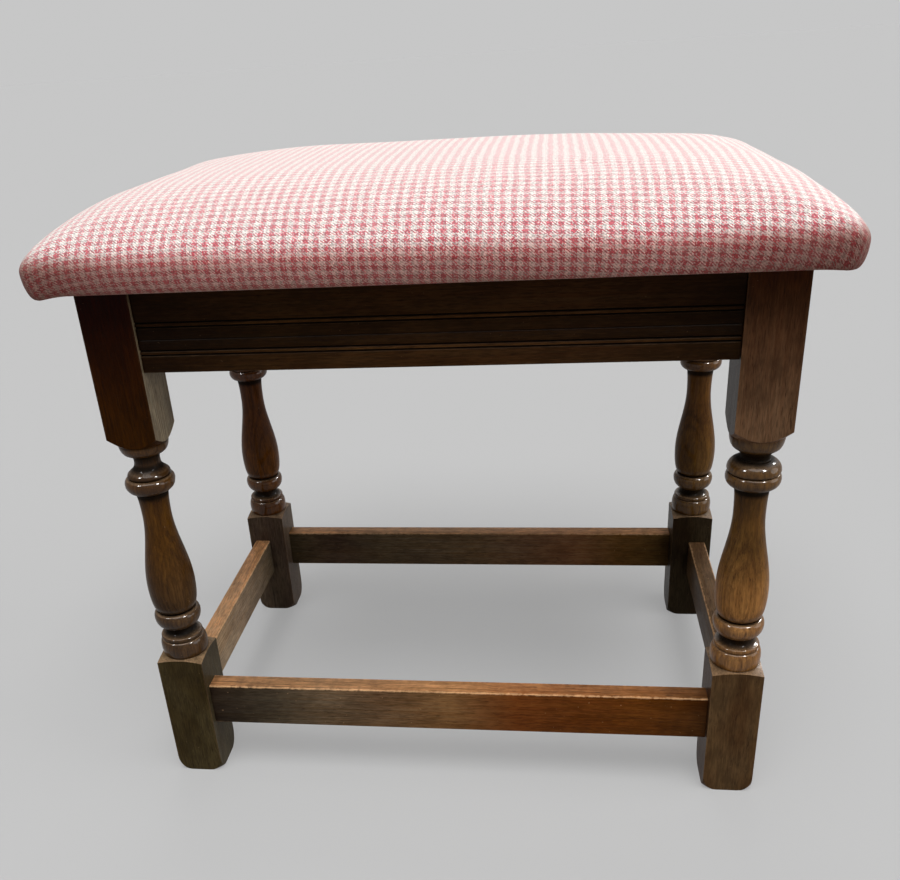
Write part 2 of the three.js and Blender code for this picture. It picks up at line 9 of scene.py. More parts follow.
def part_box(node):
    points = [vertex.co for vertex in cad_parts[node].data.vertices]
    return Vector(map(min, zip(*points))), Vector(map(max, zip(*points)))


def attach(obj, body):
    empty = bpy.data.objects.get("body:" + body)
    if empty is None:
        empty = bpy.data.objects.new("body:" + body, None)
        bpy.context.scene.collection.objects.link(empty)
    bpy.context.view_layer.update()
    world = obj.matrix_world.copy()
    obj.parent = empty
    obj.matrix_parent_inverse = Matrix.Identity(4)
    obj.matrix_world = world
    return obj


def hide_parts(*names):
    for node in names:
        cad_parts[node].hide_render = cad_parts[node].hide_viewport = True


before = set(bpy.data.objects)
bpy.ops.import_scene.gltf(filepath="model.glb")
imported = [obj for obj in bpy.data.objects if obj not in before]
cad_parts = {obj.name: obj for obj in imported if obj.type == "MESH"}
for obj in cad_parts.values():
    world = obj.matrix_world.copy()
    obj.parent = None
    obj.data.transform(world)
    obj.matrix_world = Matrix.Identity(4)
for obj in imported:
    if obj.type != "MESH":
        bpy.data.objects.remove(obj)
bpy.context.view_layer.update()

mm = 0.001
mergeDistance = 0.002 * mm  # points closer than this are one
print("stage: frame loaded")


# Hand tools: short ways to the operators that every piece uses
def deselectAll():
    if bpy.context.mode != "OBJECT":
        bpy.ops.object.mode_set(mode="OBJECT")
    bpy.ops.object.select_all(action="DESELECT")


def pickUp(piece):
    deselectAll()
    piece.select_set(True)
    bpy.context.view_layer.objects.active = piece
    return piece


def named(piece, name):
    piece.name = name
    piece.data.name = name
    return piece


def titled(place):  # front_left becomes FrontLeft
    return place.title().replace("_", "")


def settle(piece):  # the place goes into the mesh, the object stays at the origin
    pickUp(piece)
    bpy.ops.object.transform_apply(location=True, rotation=True, scale=True)
    return piece


def addBlock(name, low, high):  # a block between two corners
    deselectAll()
    low, high = Vector(low), Vector(high)
    bpy.ops.mesh.primitive_cube_add(size=1, location=(low + high) / 2, scale=high - low)
    return settle(named(bpy.context.object, name))


def drawLine(name, points):  # an open or closed line, one extruded point after another
    deselectAll()
    bpy.ops.mesh.primitive_plane_add(size=mm, location=points[0])
    piece = settle(named(bpy.context.object, name))
    bpy.ops.object.mode_set(mode="EDIT")
    bpy.ops.mesh.select_mode(type="VERT")
    bpy.ops.mesh.select_all(action="SELECT")
    bpy.ops.mesh.merge(type="CENTER")
    for before, after in zip(points, points[1:]):
        step = Vector(after) - Vector(before)
        bpy.ops.mesh.extrude_region_move(TRANSFORM_OT_translate={"value": step})
    return piece


def applyModifier(piece, kind, **settings):
    pickUp(piece)
    modifier = piece.modifiers.new(kind.title(), kind)
    for key, value in settings.items():
        setattr(modifier, key, value)
    bpy.ops.object.modifier_apply(modifier=modifier.name)
    return piece


def cutOrJoin(piece, other, operation):
    applyModifier(piece, "BOOLEAN", object=other, operation=operation, solver="EXACT")
    bpy.data.objects.remove(other)
    return piece


def outwards(piece):  # doubles merged, normals recalculated
    pickUp(piece)
    bpy.ops.object.mode_set(mode="EDIT")
    bpy.ops.mesh.select_all(action="SELECT")
    bpy.ops.mesh.remove_doubles(threshold=mergeDistance)
    bpy.ops.mesh.normals_make_consistent(inside=False)
    bpy.ops.object.mode_set(mode="OBJECT")
    return piece


def smoothShade(piece, degrees=32):
    pickUp(piece)
    bpy.ops.object.shade_smooth_by_angle(angle=math.radians(degrees))
    return piece


def addObject(name, data):
    added = bpy.data.objects.new(name, data)
    bpy.context.scene.collection.objects.link(added)
    return added


def copyPiece(piece, name, place):  # a copy with its own mesh, moved to its place
    twin = addObject(name, piece.data.copy())
    twin.data.transform(place)
    return named(twin, name)


def loopCorners(piece):  # the point that each corner of each face uses
    corners = np.empty(len(piece.data.loops), np.int32)
    piece.data.loops.foreach_get("vertex_index", corners)
    return corners


def cornersOf(piece):
    points = np.empty(len(piece.data.vertices) * 3, np.float32)
    piece.data.vertices.foreach_get("co", points)
    return points.reshape(-1, 3)


def setPoints(piece, points):
    piece.data.vertices.foreach_set("co", np.ascontiguousarray(points, np.float32).ravel())
    piece.data.update()


def keepVector(piece, name, values, domain="POINT"):
    layer = piece.data.attributes.new(name, "FLOAT_VECTOR", domain)
    layer.data.foreach_set("vector", np.ascontiguousarray(values, np.float32).ravel())


def keepValue(piece, name, values):
    layer = piece.data.attributes.new(name, "FLOAT", "POINT")
    layer.data.foreach_set("value", np.ascontiguousarray(values, np.float32))


def finishPiece(piece, slotName, material, *nodes):
    piece.data.materials.clear()
    piece.data.materials.append(material)
    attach(piece, "root")
    if nodes:
        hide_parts(*nodes)
    return piece


# Shader tools
def addNode(tree, kind, values=None, **settings):  # a socket among the values is linked, all else is set
    node = tree.nodes.new(kind)
    for key, value in settings.items():
        setattr(node, key, value)
    for key, value in (values or {}).items():
        if isinstance(value, bpy.types.NodeSocket):
            tree.links.new(value, node.inputs[key])
        else:
            node.inputs[key].default_value = value
    return node


def partsOf(tree, vector):
    return addNode(tree, "ShaderNodeSeparateXYZ", {0: vector}).outputs


def calc(tree, operation, first, second=0.0, third=0.0, clamp=False):
    node = addNode(tree, "ShaderNodeMath", {0: first, 1: second, 2: third}, operation=operation)
    node.use_clamp = clamp
    return node.outputs[0]


def times(tree, first, second):
    return calc(tree, "MULTIPLY", first, second)


def vectorCalc(tree, operation, first, second=(0, 0, 0)):
    node = addNode(tree, "ShaderNodeVectorMath", {0: first, 1: second}, operation=operation)
    return node.outputs["Value" if operation == "LENGTH" else "Vector"]


def fadeBetween(tree, value, start, end, low=0.0, high=1.0):
    places = {"Value": value, "From Min": start, "From Max": end, "To Min": low, "To Max": high}
    return addNode(tree, "ShaderNodeMapRange", places, interpolation_type="SMOOTHSTEP").outputs[0]


def mixColour(tree, share, first, second, blend="MIX"):
    values = {0: share, 6: first, 7: second}
    return addNode(tree, "ShaderNodeMix", values, data_type="RGBA", blend_type=blend).outputs[2]


def multiplied(tree, colour, tone):
    return mixColour(tree, 1.0, colour, tone, "MULTIPLY")


def noiseAt(tree, vector, scale, detail=2.0, rough=0.5, output="Fac"):
    places = {"Vector": vector, "Scale": scale, "Detail": detail, "Roughness": rough}
    return addNode(tree, "ShaderNodeTexNoise", places).outputs[output]


def stretchedNoise(tree, vector, stretch, detail=2.0, rough=0.5, output="Fac"):  # lumps per metre each way
    return noiseAt(tree, vectorCalc(tree, "MULTIPLY", vector, stretch), 1.0, detail, rough, output)


def startGroup(name, inputs, outputs):
    tree = bpy.data.node_groups.new(name, "ShaderNodeTree")
    for label, kind, value in inputs:
        socket = tree.interface.new_socket(label, in_out="INPUT", socket_type=kind)
        if value is not None:
            socket.default_value = value
    for label, kind in outputs:
        tree.interface.new_socket(label, in_out="OUTPUT", socket_type=kind)
    return tree, tree.nodes.new("NodeGroupInput").outputs, tree.nodes.new("NodeGroupOutput").inputs


def placeGroup(tree, group, values):
    return addNode(tree, "ShaderNodeGroup", values, node_tree=group).outputs


def startMaterial(name, **values):
    material = bpy.data.materials.new(name)
    material.use_nodes = True
    tree = material.node_tree
    shader = tree.nodes["Principled BSDF"]
    for key, value in values.items():
        shader.inputs[key.replace("_", " ")].default_value = value
    return material, tree, shader


def wire(tree, inputs, **sockets):
    for key, value in sockets.items():
        tree.links.new(value, inputs[key.replace("_", " ")])


def attributesOf(tree, output, *names):
    return [addNode(tree, "ShaderNodeAttribute", attribute_name=name).outputs[output] for name in names]


def objectPlace(tree):
    return addNode(tree, "ShaderNodeTexCoord").outputs["Object"]


def greyOf(tree, value):
    return addNode(tree, "ShaderNodeCombineXYZ", {0: value, 1: value, 2: value}).outputs[0]


def bumpFrom(tree, height, distance, strength=1.0):
    values = {"Height": height, "Distance": distance, "Strength": strength}
    return addNode(tree, "ShaderNodeBump", values).outputs["Normal"]


# Camera, at the photograph's viewing angle
cameraPlace = {
    "location": (0.0824, -0.7494, 0.5567),
    "turn": (63.64, 3.71, 7.26),  # degrees
    "focalPixels": 940.4,
    "centrePixel": (417.8, 506.9),
    "imagePixels": (900, 880),
    "sensor": 36,
}


def addCamera(place):
    data = bpy.data.cameras.new("photoCamera")
    wide, tall = place["imagePixels"]
    data.sensor_width = place["sensor"]
    data.lens = place["focalPixels"] * place["sensor"] / wide
    data.shift_x = (wide / 2 - place["centrePixel"][0]) / wide
    data.shift_y = (place["centrePixel"][1] - tall / 2) / wide
    camera = addObject("photoCamera", data)
    camera.location = place["location"]
    camera.rotation_euler = [math.radians(angle) for angle in place["turn"]]
    bpy.context.scene.camera = camera


addCamera(cameraPlace)


# Studio: a wide pale floor, three soft lights and three small soft boxes for the glints
studio = {
    "floorHalf": 40,
    "floorSeen": (0.429, 0.429, 0.429, 1),
    "floorBounce": (0.22, 0.2, 0.18, 1),  # what its light does to the stool
    "floorMottle": (2.5, 0.995),  # clouds per metre and their tone
    "floorGlow": 0.5,  # share of the seen floor that the shadow doesn't reach
    "skySeen": (0.57, 0.57, 0.57, 1),
    "skyLight": 0.14,
    "suns": [  # name, where the light comes from, strength, angle in degrees
        ("overheadLight", (0.04, -0.3, 1.0), 3.15, 46),
        ("rearLight", (-0.15, 1.0, 0.6), 0.7, 40),
        ("sideLight", (1.0, -0.05, 0.3), 1.3, 40),
    ],
    "glintBoxes": [  # name, place, size, watts; they show in the gloss only
        ("leftBox", (-1.3, -1.1, 1.9), (0.35, 0.35), 50),
        ("rightBox", (1.2, -0.9, 1.8), (0.35, 0.35), 80),
        ("rearBox", (1.5, 1.4, 1.5), (0.4, 0.4), 100),
    ],
    "lookAt": (0, 0, 0.3),
}


def seenShare(tree):  # 1 for what the camera, gloss and glass see, 0 for the light that bounces
    rays = addNode(tree, "ShaderNodeLightPath").outputs
    total = calc(tree, "ADD", rays["Is Camera Ray"], rays["Is Glossy Ray"])
    return calc(tree, "ADD", total, rays["Is Transmission Ray"], clamp=True)


def addFloor(sizes):
    deselectAll()
    bpy.ops.mesh.primitive_plane_add(size=sizes["floorHalf"] * 2)
    floor = settle(named(bpy.context.object, "studioFloor"))
    material, tree, shader = startMaterial("palePaper", Roughness=0.95, Specular_IOR_Level=0)
    seen = seenShare(tree)
    scale, tone = sizes["floorMottle"]
    clouded = [channel * tone for channel in sizes["floorSeen"][:3]] + [1]
    mottle = mixColour(tree, noiseAt(tree, objectPlace(tree), scale), sizes["floorSeen"], clouded)
    shaded = mixColour(tree, 1 - sizes["floorGlow"], (0, 0, 0, 1), mottle)
    wire(tree, shader.inputs, Base_Color=mixColour(tree, seen, sizes["floorBounce"], shaded),
         Emission_Color=mixColour(tree, seen, (0, 0, 0, 1), sizes["skySeen"]))
    shader.inputs["Emission Strength"].default_value = sizes["floorGlow"]
    floor.data.materials.append(material)


def addLamp(name, kind, place, target, energy):
    data = bpy.data.lights.new(name, kind)
    data.energy = energy
    lamp = addObject(name, data)
    lamp.location = place
    lamp.rotation_euler = (Vector(target) - Vector(place)).to_track_quat("-Z", "Y").to_euler()
    return lamp


def addLights(sizes):
    for name, source, strength, angle in sizes["suns"]:
        addLamp(name, "SUN", source, (0, 0, 0), strength).data.angle = math.radians(angle)
    for name, place, size, watts in sizes["glintBoxes"]:
        lamp = addLamp(name, "AREA", place, sizes["lookAt"], watts)
        lamp.data.shape = "RECTANGLE"
        lamp.data.size, lamp.data.size_y = size
        lamp.visible_diffuse = False
    world = bpy.data.worlds.new("studioSky")
    world.use_nodes = True
    tree = world.node_tree
    light = tree.nodes["Background"]
    light.inputs["Color"].default_value = (1, 1, 1, 1)
    light.inputs["Strength"].default_value = sizes["skyLight"]
    pale = addNode(tree, "ShaderNodeBackground", {"Color": sizes["skySeen"], "Strength": 1.0})
    mix = addNode(tree, "ShaderNodeMixShader", {0: seenShare(tree)})
    tree.links.new(light.outputs[0], mix.inputs[1])
    tree.links.new(pale.outputs[0], mix.inputs[2])
    tree.links.new(mix.outputs[0], tree.nodes["World Output"].inputs["Surface"])
    bpy.context.scene.world = world
    bpy.context.scene.view_settings.view_transform = "Standard"


addFloor(studio)
addLights(studio)
print("stage: camera and studio")


# Oak grain: growth rings round a pith line, pores along them and long streaks; grain runs along Z
grainSizes = {  # a stretch is lumps per metre across, across and along the grain
    "drift": (28, 28, 5),
    "taper": 0.02,  # how fast the rings close along the trunk
    "seasons": (0.45, 1.8),  # how often the ring's width changes, and how much
    "earlyWood": (0.0, 0.42, 1.0, 0.0),  # from and to within a ring, and the mask's values there
    "lateWood": (0.74, 1.0, 0.0, 1.0),
    "faint": ((70, 70, 13), (0.36, 0.62, 0.3, 1.0)),  # where the rings show less
    "pores": ((2300, 2300, 150), (0.56, 0.68)),
    "poresOffRings": (0.0, 0.8, 0.5, 1.0),
    "streaks": ((560, 560, 13), 3.0, 0.65),
    "cloud": (40, 40, 14),
    "dashes": ((1000, 1000, 110), 2.0, 0.6),
    "blotches": (110, 110, 60),
    "dashShare": 0.6,
}


def makeOakGrain(sizes):
    tree, given, gives = startGroup(
        "oakGrain",
        [("Place", "NodeSocketVector", None), ("Ring Width", "NodeSocketFloat", 0.0022),
         ("Warp", "NodeSocketFloat", 0.004)],
        [("Rings", "NodeSocketFloat"), ("Pores", "NodeSocketFloat"), ("Streaks", "NodeSocketFloat"),
         ("Cloud", "NodeSocketFloat"), ("Mottle", "NodeSocketFloat")])
    place = given["Place"]
    drift = stretchedNoise(tree, place, sizes["drift"], 3.0, output="Color")
    offset = vectorCalc(tree, "SUBTRACT", drift, (0.5, 0.5, 0.5))
    scaled = addNode(tree, "ShaderNodeVectorMath", {0: offset, "Scale": given["Warp"]}, operation="SCALE")
    bent = vectorCalc(tree, "ADD", place, scaled.outputs["Vector"])
    flat = vectorCalc(tree, "MULTIPLY", bent, (1, 1, sizes["taper"]))
    turns = calc(tree, "DIVIDE", vectorCalc(tree, "LENGTH", flat), given["Ring Width"])
    often, much = sizes["seasons"]
    seasons = {"W": turns, "Scale": often, "Detail": 1.0}
    season = addNode(tree, "ShaderNodeTexNoise", seasons, noise_dimensions="1D").outputs["Fac"]
    inRing = calc(tree, "FRACT", calc(tree, "MULTIPLY_ADD", season, much, turns))
    early = fadeBetween(tree, inRing, *sizes["earlyWood"])
    late = fadeBetween(tree, inRing, *sizes["lateWood"])
    stretch, fade = sizes["faint"]
    faint = fadeBetween(tree, stretchedNoise(tree, place, stretch), *fade)
    rings = times(tree, calc(tree, "MAXIMUM", early, late), faint)
    stretch, fade = sizes["pores"]
    specks = fadeBetween(tree, stretchedNoise(tree, bent, stretch, 1.0), *fade)
    pores = times(tree, specks, fadeBetween(tree, rings, *sizes["poresOffRings"]))
    streaks = stretchedNoise(tree, bent, *sizes["streaks"])
    cloud = stretchedNoise(tree, place, sizes["cloud"])
    dashes = stretchedNoise(tree, bent, *sizes["dashes"])
    blotches = times(tree, stretchedNoise(tree, place, sizes["blotches"]), 1 - sizes["dashShare"])
    mottle = calc(tree, "MULTIPLY_ADD", dashes, sizes["dashShare"], blotches)
    wire(tree, gives, Rings=rings, Pores=pores, Streaks=streaks, Cloud=cloud, Mottle=mottle)
    return tree


# Edge wear: a ragged mask along the long edges of a bar, from the place across it
wearShape = {
    "ragged": (260.0, 3.0, 0.65),  # lumps per metre, detail, roughness
    "reach": (2.4, -0.4),  # from the lumps to shares of the worn width
    "core": 0.2,  # share of the reach that is worn through
}


def makeEdgeWear(shape):
    tree, given, gives = startGroup(
        "edgeWear",
        [("Across", "NodeSocketVector", None), ("Half Size", "NodeSocketVector", (0.019, 0.019, 1)),
         ("Width", "NodeSocketFloat", 0.002)],
        [("Mask", "NodeSocketFloat")])
    size = vectorCalc(tree, "ABSOLUTE", given["Across"])
    inside = vectorCalc(tree, "SUBTRACT", given["Half Size"], size)
    parts = partsOf(tree, inside)
    away = calc(tree, "MAXIMUM", parts["X"], parts["Y"])
    ragged = noiseAt(tree, given["Across"], *shape["ragged"])
    reach = times(tree, given["Width"], calc(tree, "MULTIPLY_ADD", ragged, *shape["reach"]))
    wire(tree, gives, Mask=fadeBetween(tree, away, times(tree, reach, shape["core"]), reach, 1.0, 0.0))
    return tree


oakGrain = makeOakGrain(grainSizes)
edgeWear = makeEdgeWear(wearShape)


def grainOf(tree, place, look):
    return placeGroup(tree, oakGrain, {"Place": place, "Ring Width": look["ringWidth"], "Warp": look["warp"]})


def woodTone(tree, grain, look, tint):  # rings, streaks and clouds over the wood, times the piece's tint, which carries painted shade and reflection too
    streaky = fadeBetween(tree, grain["Streaks"], *look["streakFade"])
    colour = mixColour(tree, times(tree, grain["Rings"], look["ringDepth"]), look["pale"], look["dark"])
    colour = mixColour(tree, times(tree, streaky, look["streakDepth"]), colour, look["red"])
    colour = mixColour(tree, fadeBetween(tree, grain["Cloud"], *look["clouds"]), colour, look["dark"])
    return multiplied(tree, colour, tint)


def rubbedAndLitTops(tree, grain, across, facingUp, rubbingAndTopLight, look):  # hands and shoes rub the upper faces pale, and a painted highlight pales them where they face the overhead light
    reach = times(tree, rubbingAndTopLight, look["rubDepth"])
    patchy = fadeBetween(tree, noiseAt(tree, across, *look["rubPatches"]), *look["rubPatchFade"])
    rubbedAndLit = times(tree, fadeBetween(tree, facingUp, *look["rubAndLightFacing"], 0.0, reach), patchy)
    streaky = fadeBetween(tree, grain["Streaks"], *look["rubStreakFade"], 1.0, look["rubStreak"])
    return times(tree, rubbedAndLit, streaky)


def makeOak(name, look):
    material, tree, shader = startMaterial(
        name, Coat_Roughness=look["varnishBlur"], Specular_IOR_Level=look["gloss"])
    place, across, tint, turnedTint = attributesOf(
        tree, "Vector", "grainPlace", "acrossPlace", "tint", "turnedTint")
    hollow, handled, polished, scuffed, rubbingAndTopLight = attributesOf(
        tree, "Fac", "hollow", "handled", "polished", "scuffed", "rubbingAndTopLight")
    facingUp = partsOf(tree, addNode(tree, "ShaderNodeTexCoord").outputs["Normal"])["Z"]
    grain = grainOf(tree, place, look)
    wear = placeGroup(
        tree, edgeWear, {"Across": across, "Half Size": look["halfSize"], "Width": look["wearWidth"]})
    colour = woodTone(tree, grain, look, tint)
    colour = mixColour(tree, handled, colour, woodTone(tree, grain, honeyTone, turnedTint))
    dustyAndShaded = times(tree, scuffed, fadeBetween(tree, grain["Cloud"], *look["dustFade"]))
    colour = mixColour(tree, dustyAndShaded, colour, look["dustAndShade"])
    # upper faces paled: rubbed wear and a painted highlight of the overhead light
    rubbedAndLit = rubbedAndLitTops(tree, grain, across, facingUp, rubbingAndTopLight, look)
    colour = mixColour(tree, rubbedAndLit, colour, look["rubbedAndLit"])
    # upward edges paler: worn, and on the stretchers partly a painted glint of the varnish
    edges = times(tree, wear["Mask"], fadeBetween(tree, facingUp, *look["wearAndGlintFacing"]))
    colour = mixColour(tree, times(tree, edges, look["wearDepth"]), colour, look["worn"])
    colour = multiplied(tree, colour, greyOf(tree, fadeBetween(tree, grain["Mottle"], *look["mottle"])))
    colour = mixColour(tree, times(tree, grain["Pores"], look["poreDepth"]), colour, look["pore"])
    nicks = fadeBetween(tree, noiseAt(tree, across, *look["nicks"]), *look["nickFade"])
    colour = mixColour(tree, nicks, colour, look["worn"])
    colour = mixColour(tree, times(tree, hollow, look["grimeDepth"]), colour, look["grime"])
    dull = calc(tree, "MULTIPLY_ADD", grain["Streaks"], look["streakDull"], look["roughness"])
    crest = times(tree, polished, calc(tree, "SUBTRACT", 1.0, hollow))
    streaks = times(tree, grain["Streaks"], look["streakRelief"])
    height = calc(tree, "MULTIPLY_ADD", grain["Pores"], -1.0, streaks)
    wire(tree, shader.inputs, Base_Color=colour,
         Roughness=calc(tree, "MULTIPLY_ADD", hollow, look["hollowDull"], dull, clamp=True),
         Coat_Weight=calc(tree, "MULTIPLY_ADD", crest, look["turnedVarnish"], look["varnish"]),
         Normal=bumpFrom(tree, height, look["relief"], 0.9))
    return material


honeyTone = {  # the turned parts, where the old stain has worn to the wood's own colour
    "pale": (0.34, 0.170, 0.058, 1), "dark": (0.13, 0.055, 0.017, 1), "red": (0.13, 0.055, 0.017, 1),
    "ringDepth": 0.5, "streakDepth": 0.45, "streakFade": (0.36, 0.64), "clouds": (0.42, 0.66, 0.0, 0.5),
}
legLook = {  # a fade is from where to where in its noise or mask, then the values there
    "varnish": 0.01, "turnedVarnish": 0.5, "varnishBlur": 0.1, "gloss": 0.03, "roughness": 0.22,
    "streakDull": 0.25, "hollowDull": 0.3,  # what streaks and hollows add to the roughness
    "relief": 0.09 * mm, "streakRelief": 0.5,
    "pale": (0.145, 0.066, 0.029, 1), "dark": (0.062, 0.024, 0.010, 1), "red": (0.092, 0.034, 0.013, 1),
    "ringWidth": 3.1 * mm, "warp": 6 * mm, "ringDepth": 0.4, "streakDepth": 0.55, "streakFade": (0.36, 0.64),
    "clouds": (0.4, 0.64, 0.0, 0.4), "mottle": (0.38, 0.62, 0.78, 1.22),
    "dustAndShade": (0.13, 0.11, 0.06, 1), "dustFade": (0.35, 0.7, 0.45, 0.1),
    "rubbedAndLit": (0.40, 0.25, 0.14, 1), "rubDepth": 0.7, "rubStreak": 0.6, "rubStreakFade": (0.34, 0.62),
    "rubPatches": (130.0, 3.0, 0.6), "rubPatchFade": (0.3, 0.62, 0.6, 1.0), "rubAndLightFacing": (0.55, 0.88),
    "nicks": (420.0, 1.0), "nickFade": (0.755, 0.79, 0.0, 0.3),
    "pore": (0.010, 0.004, 0.002, 1), "poreDepth": 0.62,
    "grime": (0.004, 0.003, 0.002, 1), "grimeDepth": 0.92,
    "worn": (0.34, 0.20, 0.11, 1), "wearWidth": 1.5 * mm, "wearDepth": 0.22,
    "wearAndGlintFacing": (-0.2, 0.5, 0.35, 1.0), "halfSize": (19 * mm, 19 * mm, 1),
}
railLook = {
    **legLook, "gloss": 0.02, "roughness": 0.3,
    "pale": (0.078, 0.040, 0.016, 1), "dark": (0.034, 0.016, 0.0065, 1), "red": (0.062, 0.023, 0.007, 1),
    "ringWidth": 3 * mm, "rubDepth": 0.15, "nickFade": (0.755, 0.79, 0.0, 0.1),
    "halfSize": (10 * mm, 30 * mm, 1), "wearDepth": 0.25,
}
stretcherLook = {
    **legLook, "gloss": 0.02, "varnish": 0,
    "pale": (0.29, 0.155, 0.075, 1), "dark": (0.13, 0.062, 0.027, 1), "red": (0.23, 0.09, 0.025, 1),
    "rubbedAndLit": (0.64, 0.30, 0.12, 1), "rubDepth": 0.9, "rubStreak": 0.4,
    # the pale upper edges are partly a painted glint of the varnish
    "worn": (0.72, 0.42, 0.21, 1), "halfSize": (7.9 * mm, 19 * mm, 1), "wearWidth": 2 * mm, "wearDepth": 0.7,
}
legOak = makeOak("legOak", legLook)
railOak = makeOak("railOak", railLook)
stretcherOak = makeOak("stretcherOak", stretcherLook)
print("stage: oak finishes")


# Turned leg, drawn once with its axis on Z and copied to the four corners
legTurning = {
    "footBlock": 112.3 * mm,
    "topBlock": 109.6 * mm,
    "footShoulder": 2.8 * mm,
    "postShoulder": 7.6 * mm,
    "blankAllowance": 1.6 * mm,
    "footClip": (20.6 * mm, 15 * mm),  # radius at the floor, height at the worn corners
    "clipSteps": 7,
    "easing": 0.9 * mm,
    "easingSteps": 3,
    "arcSteps": 6,
    "spinSteps": 72,
    "bellyRadius": 18.9 * mm,
    "neckRadius": 11.1 * mm,
    "vaseSteps": 22,
    "below": [  # kind, height, radii in mm and a bead's widest place, from the foot block up to the vase
        ("bead", 14.6, 17.2, 18.7, 16.0, 0.5),
        ("bead", 3.7, 15.6, 16.8, 15.7, 0.45),
        ("bead", 7.4, 15.7, 10.0, 11.6, 0.85),
        ("bead", 14.8, 11.6, 18.6, 15.4, 0.66),
        ("quirk", 1.6, 13.6),
        ("quarter", 22, 14.8, 18.9),
    ],
    "above": [  # from the vase's neck up to the top block
        ("lip", 20.4, 12.6),
        ("quirk", 1.0, 12.0),
        ("bead", 10.4, 13.2, 18.9, 16.8, 0.6),
        ("quirk", 0.9, 16.0),
        ("bead", 9.0, 17.2, 18.4, 10.6, 0.2),
        ("bead", 1.2, 10.8, 11.3, 10.6, 0.5),
        ("bead", 3.8, 10.3, 9.9, 10.8, 0.5),
        ("cone", 3.4, 14.0),
        ("quarter", 10.4, 14.0, 18.6),
    ],
    "aboveFrontLeft": [  # this collar was turned slimmer, with a bell over the bead
        ("lip", 19.6, 13.0),
        ("quirk", 1.0, 12.2),
        ("bead", 12.0, 13.0, 19.0, 15.6, 0.62),
        ("quirk", 1.0, 15.0),
        ("bell", 10.8, 15.9, 9.8,
         ((16.2, 0.1), (15.7, 0.22), (14.3, 0.34), (12.5, 0.48), (11.0, 0.62), (10.1, 0.8))),
        ("bell", 6.4, 9.8, 10.6, ((9.7, 0.4),)),
        ("cone", 1.4, 13.4),
        ("quarter", 9.0, 13.6, 18.6),
    ],
    "pithAway": 42 * mm,
    "grainTurns": {"front_left": -56, "front_right": -103, "rear_right": 60, "rear_left": 150},  # degrees
    "grainShift": 0.4,  # metres along the trunk for each radian of that turn
    "tints": {  # what the finish is multiplied by: foot, post's foot, post's head, belly, neck; the darker post's head is painted shade under the seat, the greyer feet partly painted reflection
        "front_left": (
            (0.35, 0.5, 0.3), (0.33, 0.24, 0.02), (0.14, 0.02, 0.0), (0.27, 0.26, 0.21), (0.35, 0.28, 0.08)),
        "front_right": (
            (0.75, 0.78, 0.63), (1.35, 1.7, 2.1), (0.41, 0.22, 0.03), (1.32, 1.24, 1.0), (0.53, 0.5, 0.3)),
        "rear_right": (
            (0.16, 0.16, 0.14), (0.5, 0.5, 0.5), (0.3, 0.3, 0.3), (0.5, 0.48, 0.28), (0.5, 0.41, 0.18)),
        "rear_left": (
            (0.8, 1.2, 2.0), (0.5, 0.5, 0.5), (0.3, 0.3, 0.3), (0.36, 0.24, 0.06), (0.3, 0.17, 0.03)),
    },
    "neckFrom": (0.3, 0.55),  # shares of the turning where the belly's tint gives way to the neck's
    "innerPaintedLight": {  # the faces that look along the rail to the other leg: foot, post; a painted reflection of the side light on the front left leg, painted shade on the front right leg
        "front_left": ((0.4, 0.64, 0.74), (2.1, 3.8, 5.6)),
        "front_right": ((0.5, 0.33, 0.2), (0.2, 0.15, 0.0)),
    },
    "innerFacing": 0.9,
    "beadShares": {  # the beads' tone beside the vase's
        "front_left": 0.95, "front_right": 0.8, "rear_right": 1.0, "rear_left": 1.1},
    "vaseHeights": (163 * mm, 262 * mm),
    "vasePolish": 0.3,
    "footScuffs": 0.5,
    "grimeReach": 5 * mm,  # a quirk is deep beside what stands within this height of it
    "grimeSteps": 21,
    "grimeDepth": 4.5 * mm,
    # with this low power the darkening spreads down the beads' flanks: painted shade
    "flankShadePower": 1.1,
    "slimLean": (1.2 * mm, 0.118, 0.14, 0.268, 0.286),  # to the left; heights where it starts and ends
}


def addQuarter(line, radius, height, outFirst, steps):  # a quarter of an ellipse
    r0, z0 = line[-1]
    for i in range(1, steps + 1):
        angle = math.pi / 2 * i / steps
        outShare = math.sin(angle) if outFirst else 1 - math.cos(angle)
        upShare = 1 - math.cos(angle) if outFirst else math.sin(angle)
        line.append((r0 + (radius - r0) * outShare, z0 + height * upShare))


def addMember(line, member, steps):
    kind, height, first, *rest = member
    height, first = height * mm, first * mm
    top = line[-1][1] + height
    if kind == "bead":
        peak, last, share = rest[0] * mm, rest[1] * mm, rest[2]
        line.append((first, line[-1][1]))
        addQuarter(line, peak, height * share, True, steps)
        addQuarter(line, last, height * (1 - share), False, steps)
    elif kind == "quarter":
        line.append((first, line[-1][1]))
        addQuarter(line, rest[0] * mm, height, True, steps)
    elif kind == "lip":
        addQuarter(line, first, height, False, steps)
    elif kind == "cone":
        line.append((first, top))
    elif kind == "bell":
        foot = line[-1][1]
        line.append((first, foot))
        line += [(radius * mm, foot + height * share) for radius, share in rest[1]]
        line.append((rest[0] * mm, top))
    else:
        line.append((first, line[-1][1]))
        line.append((first, top))


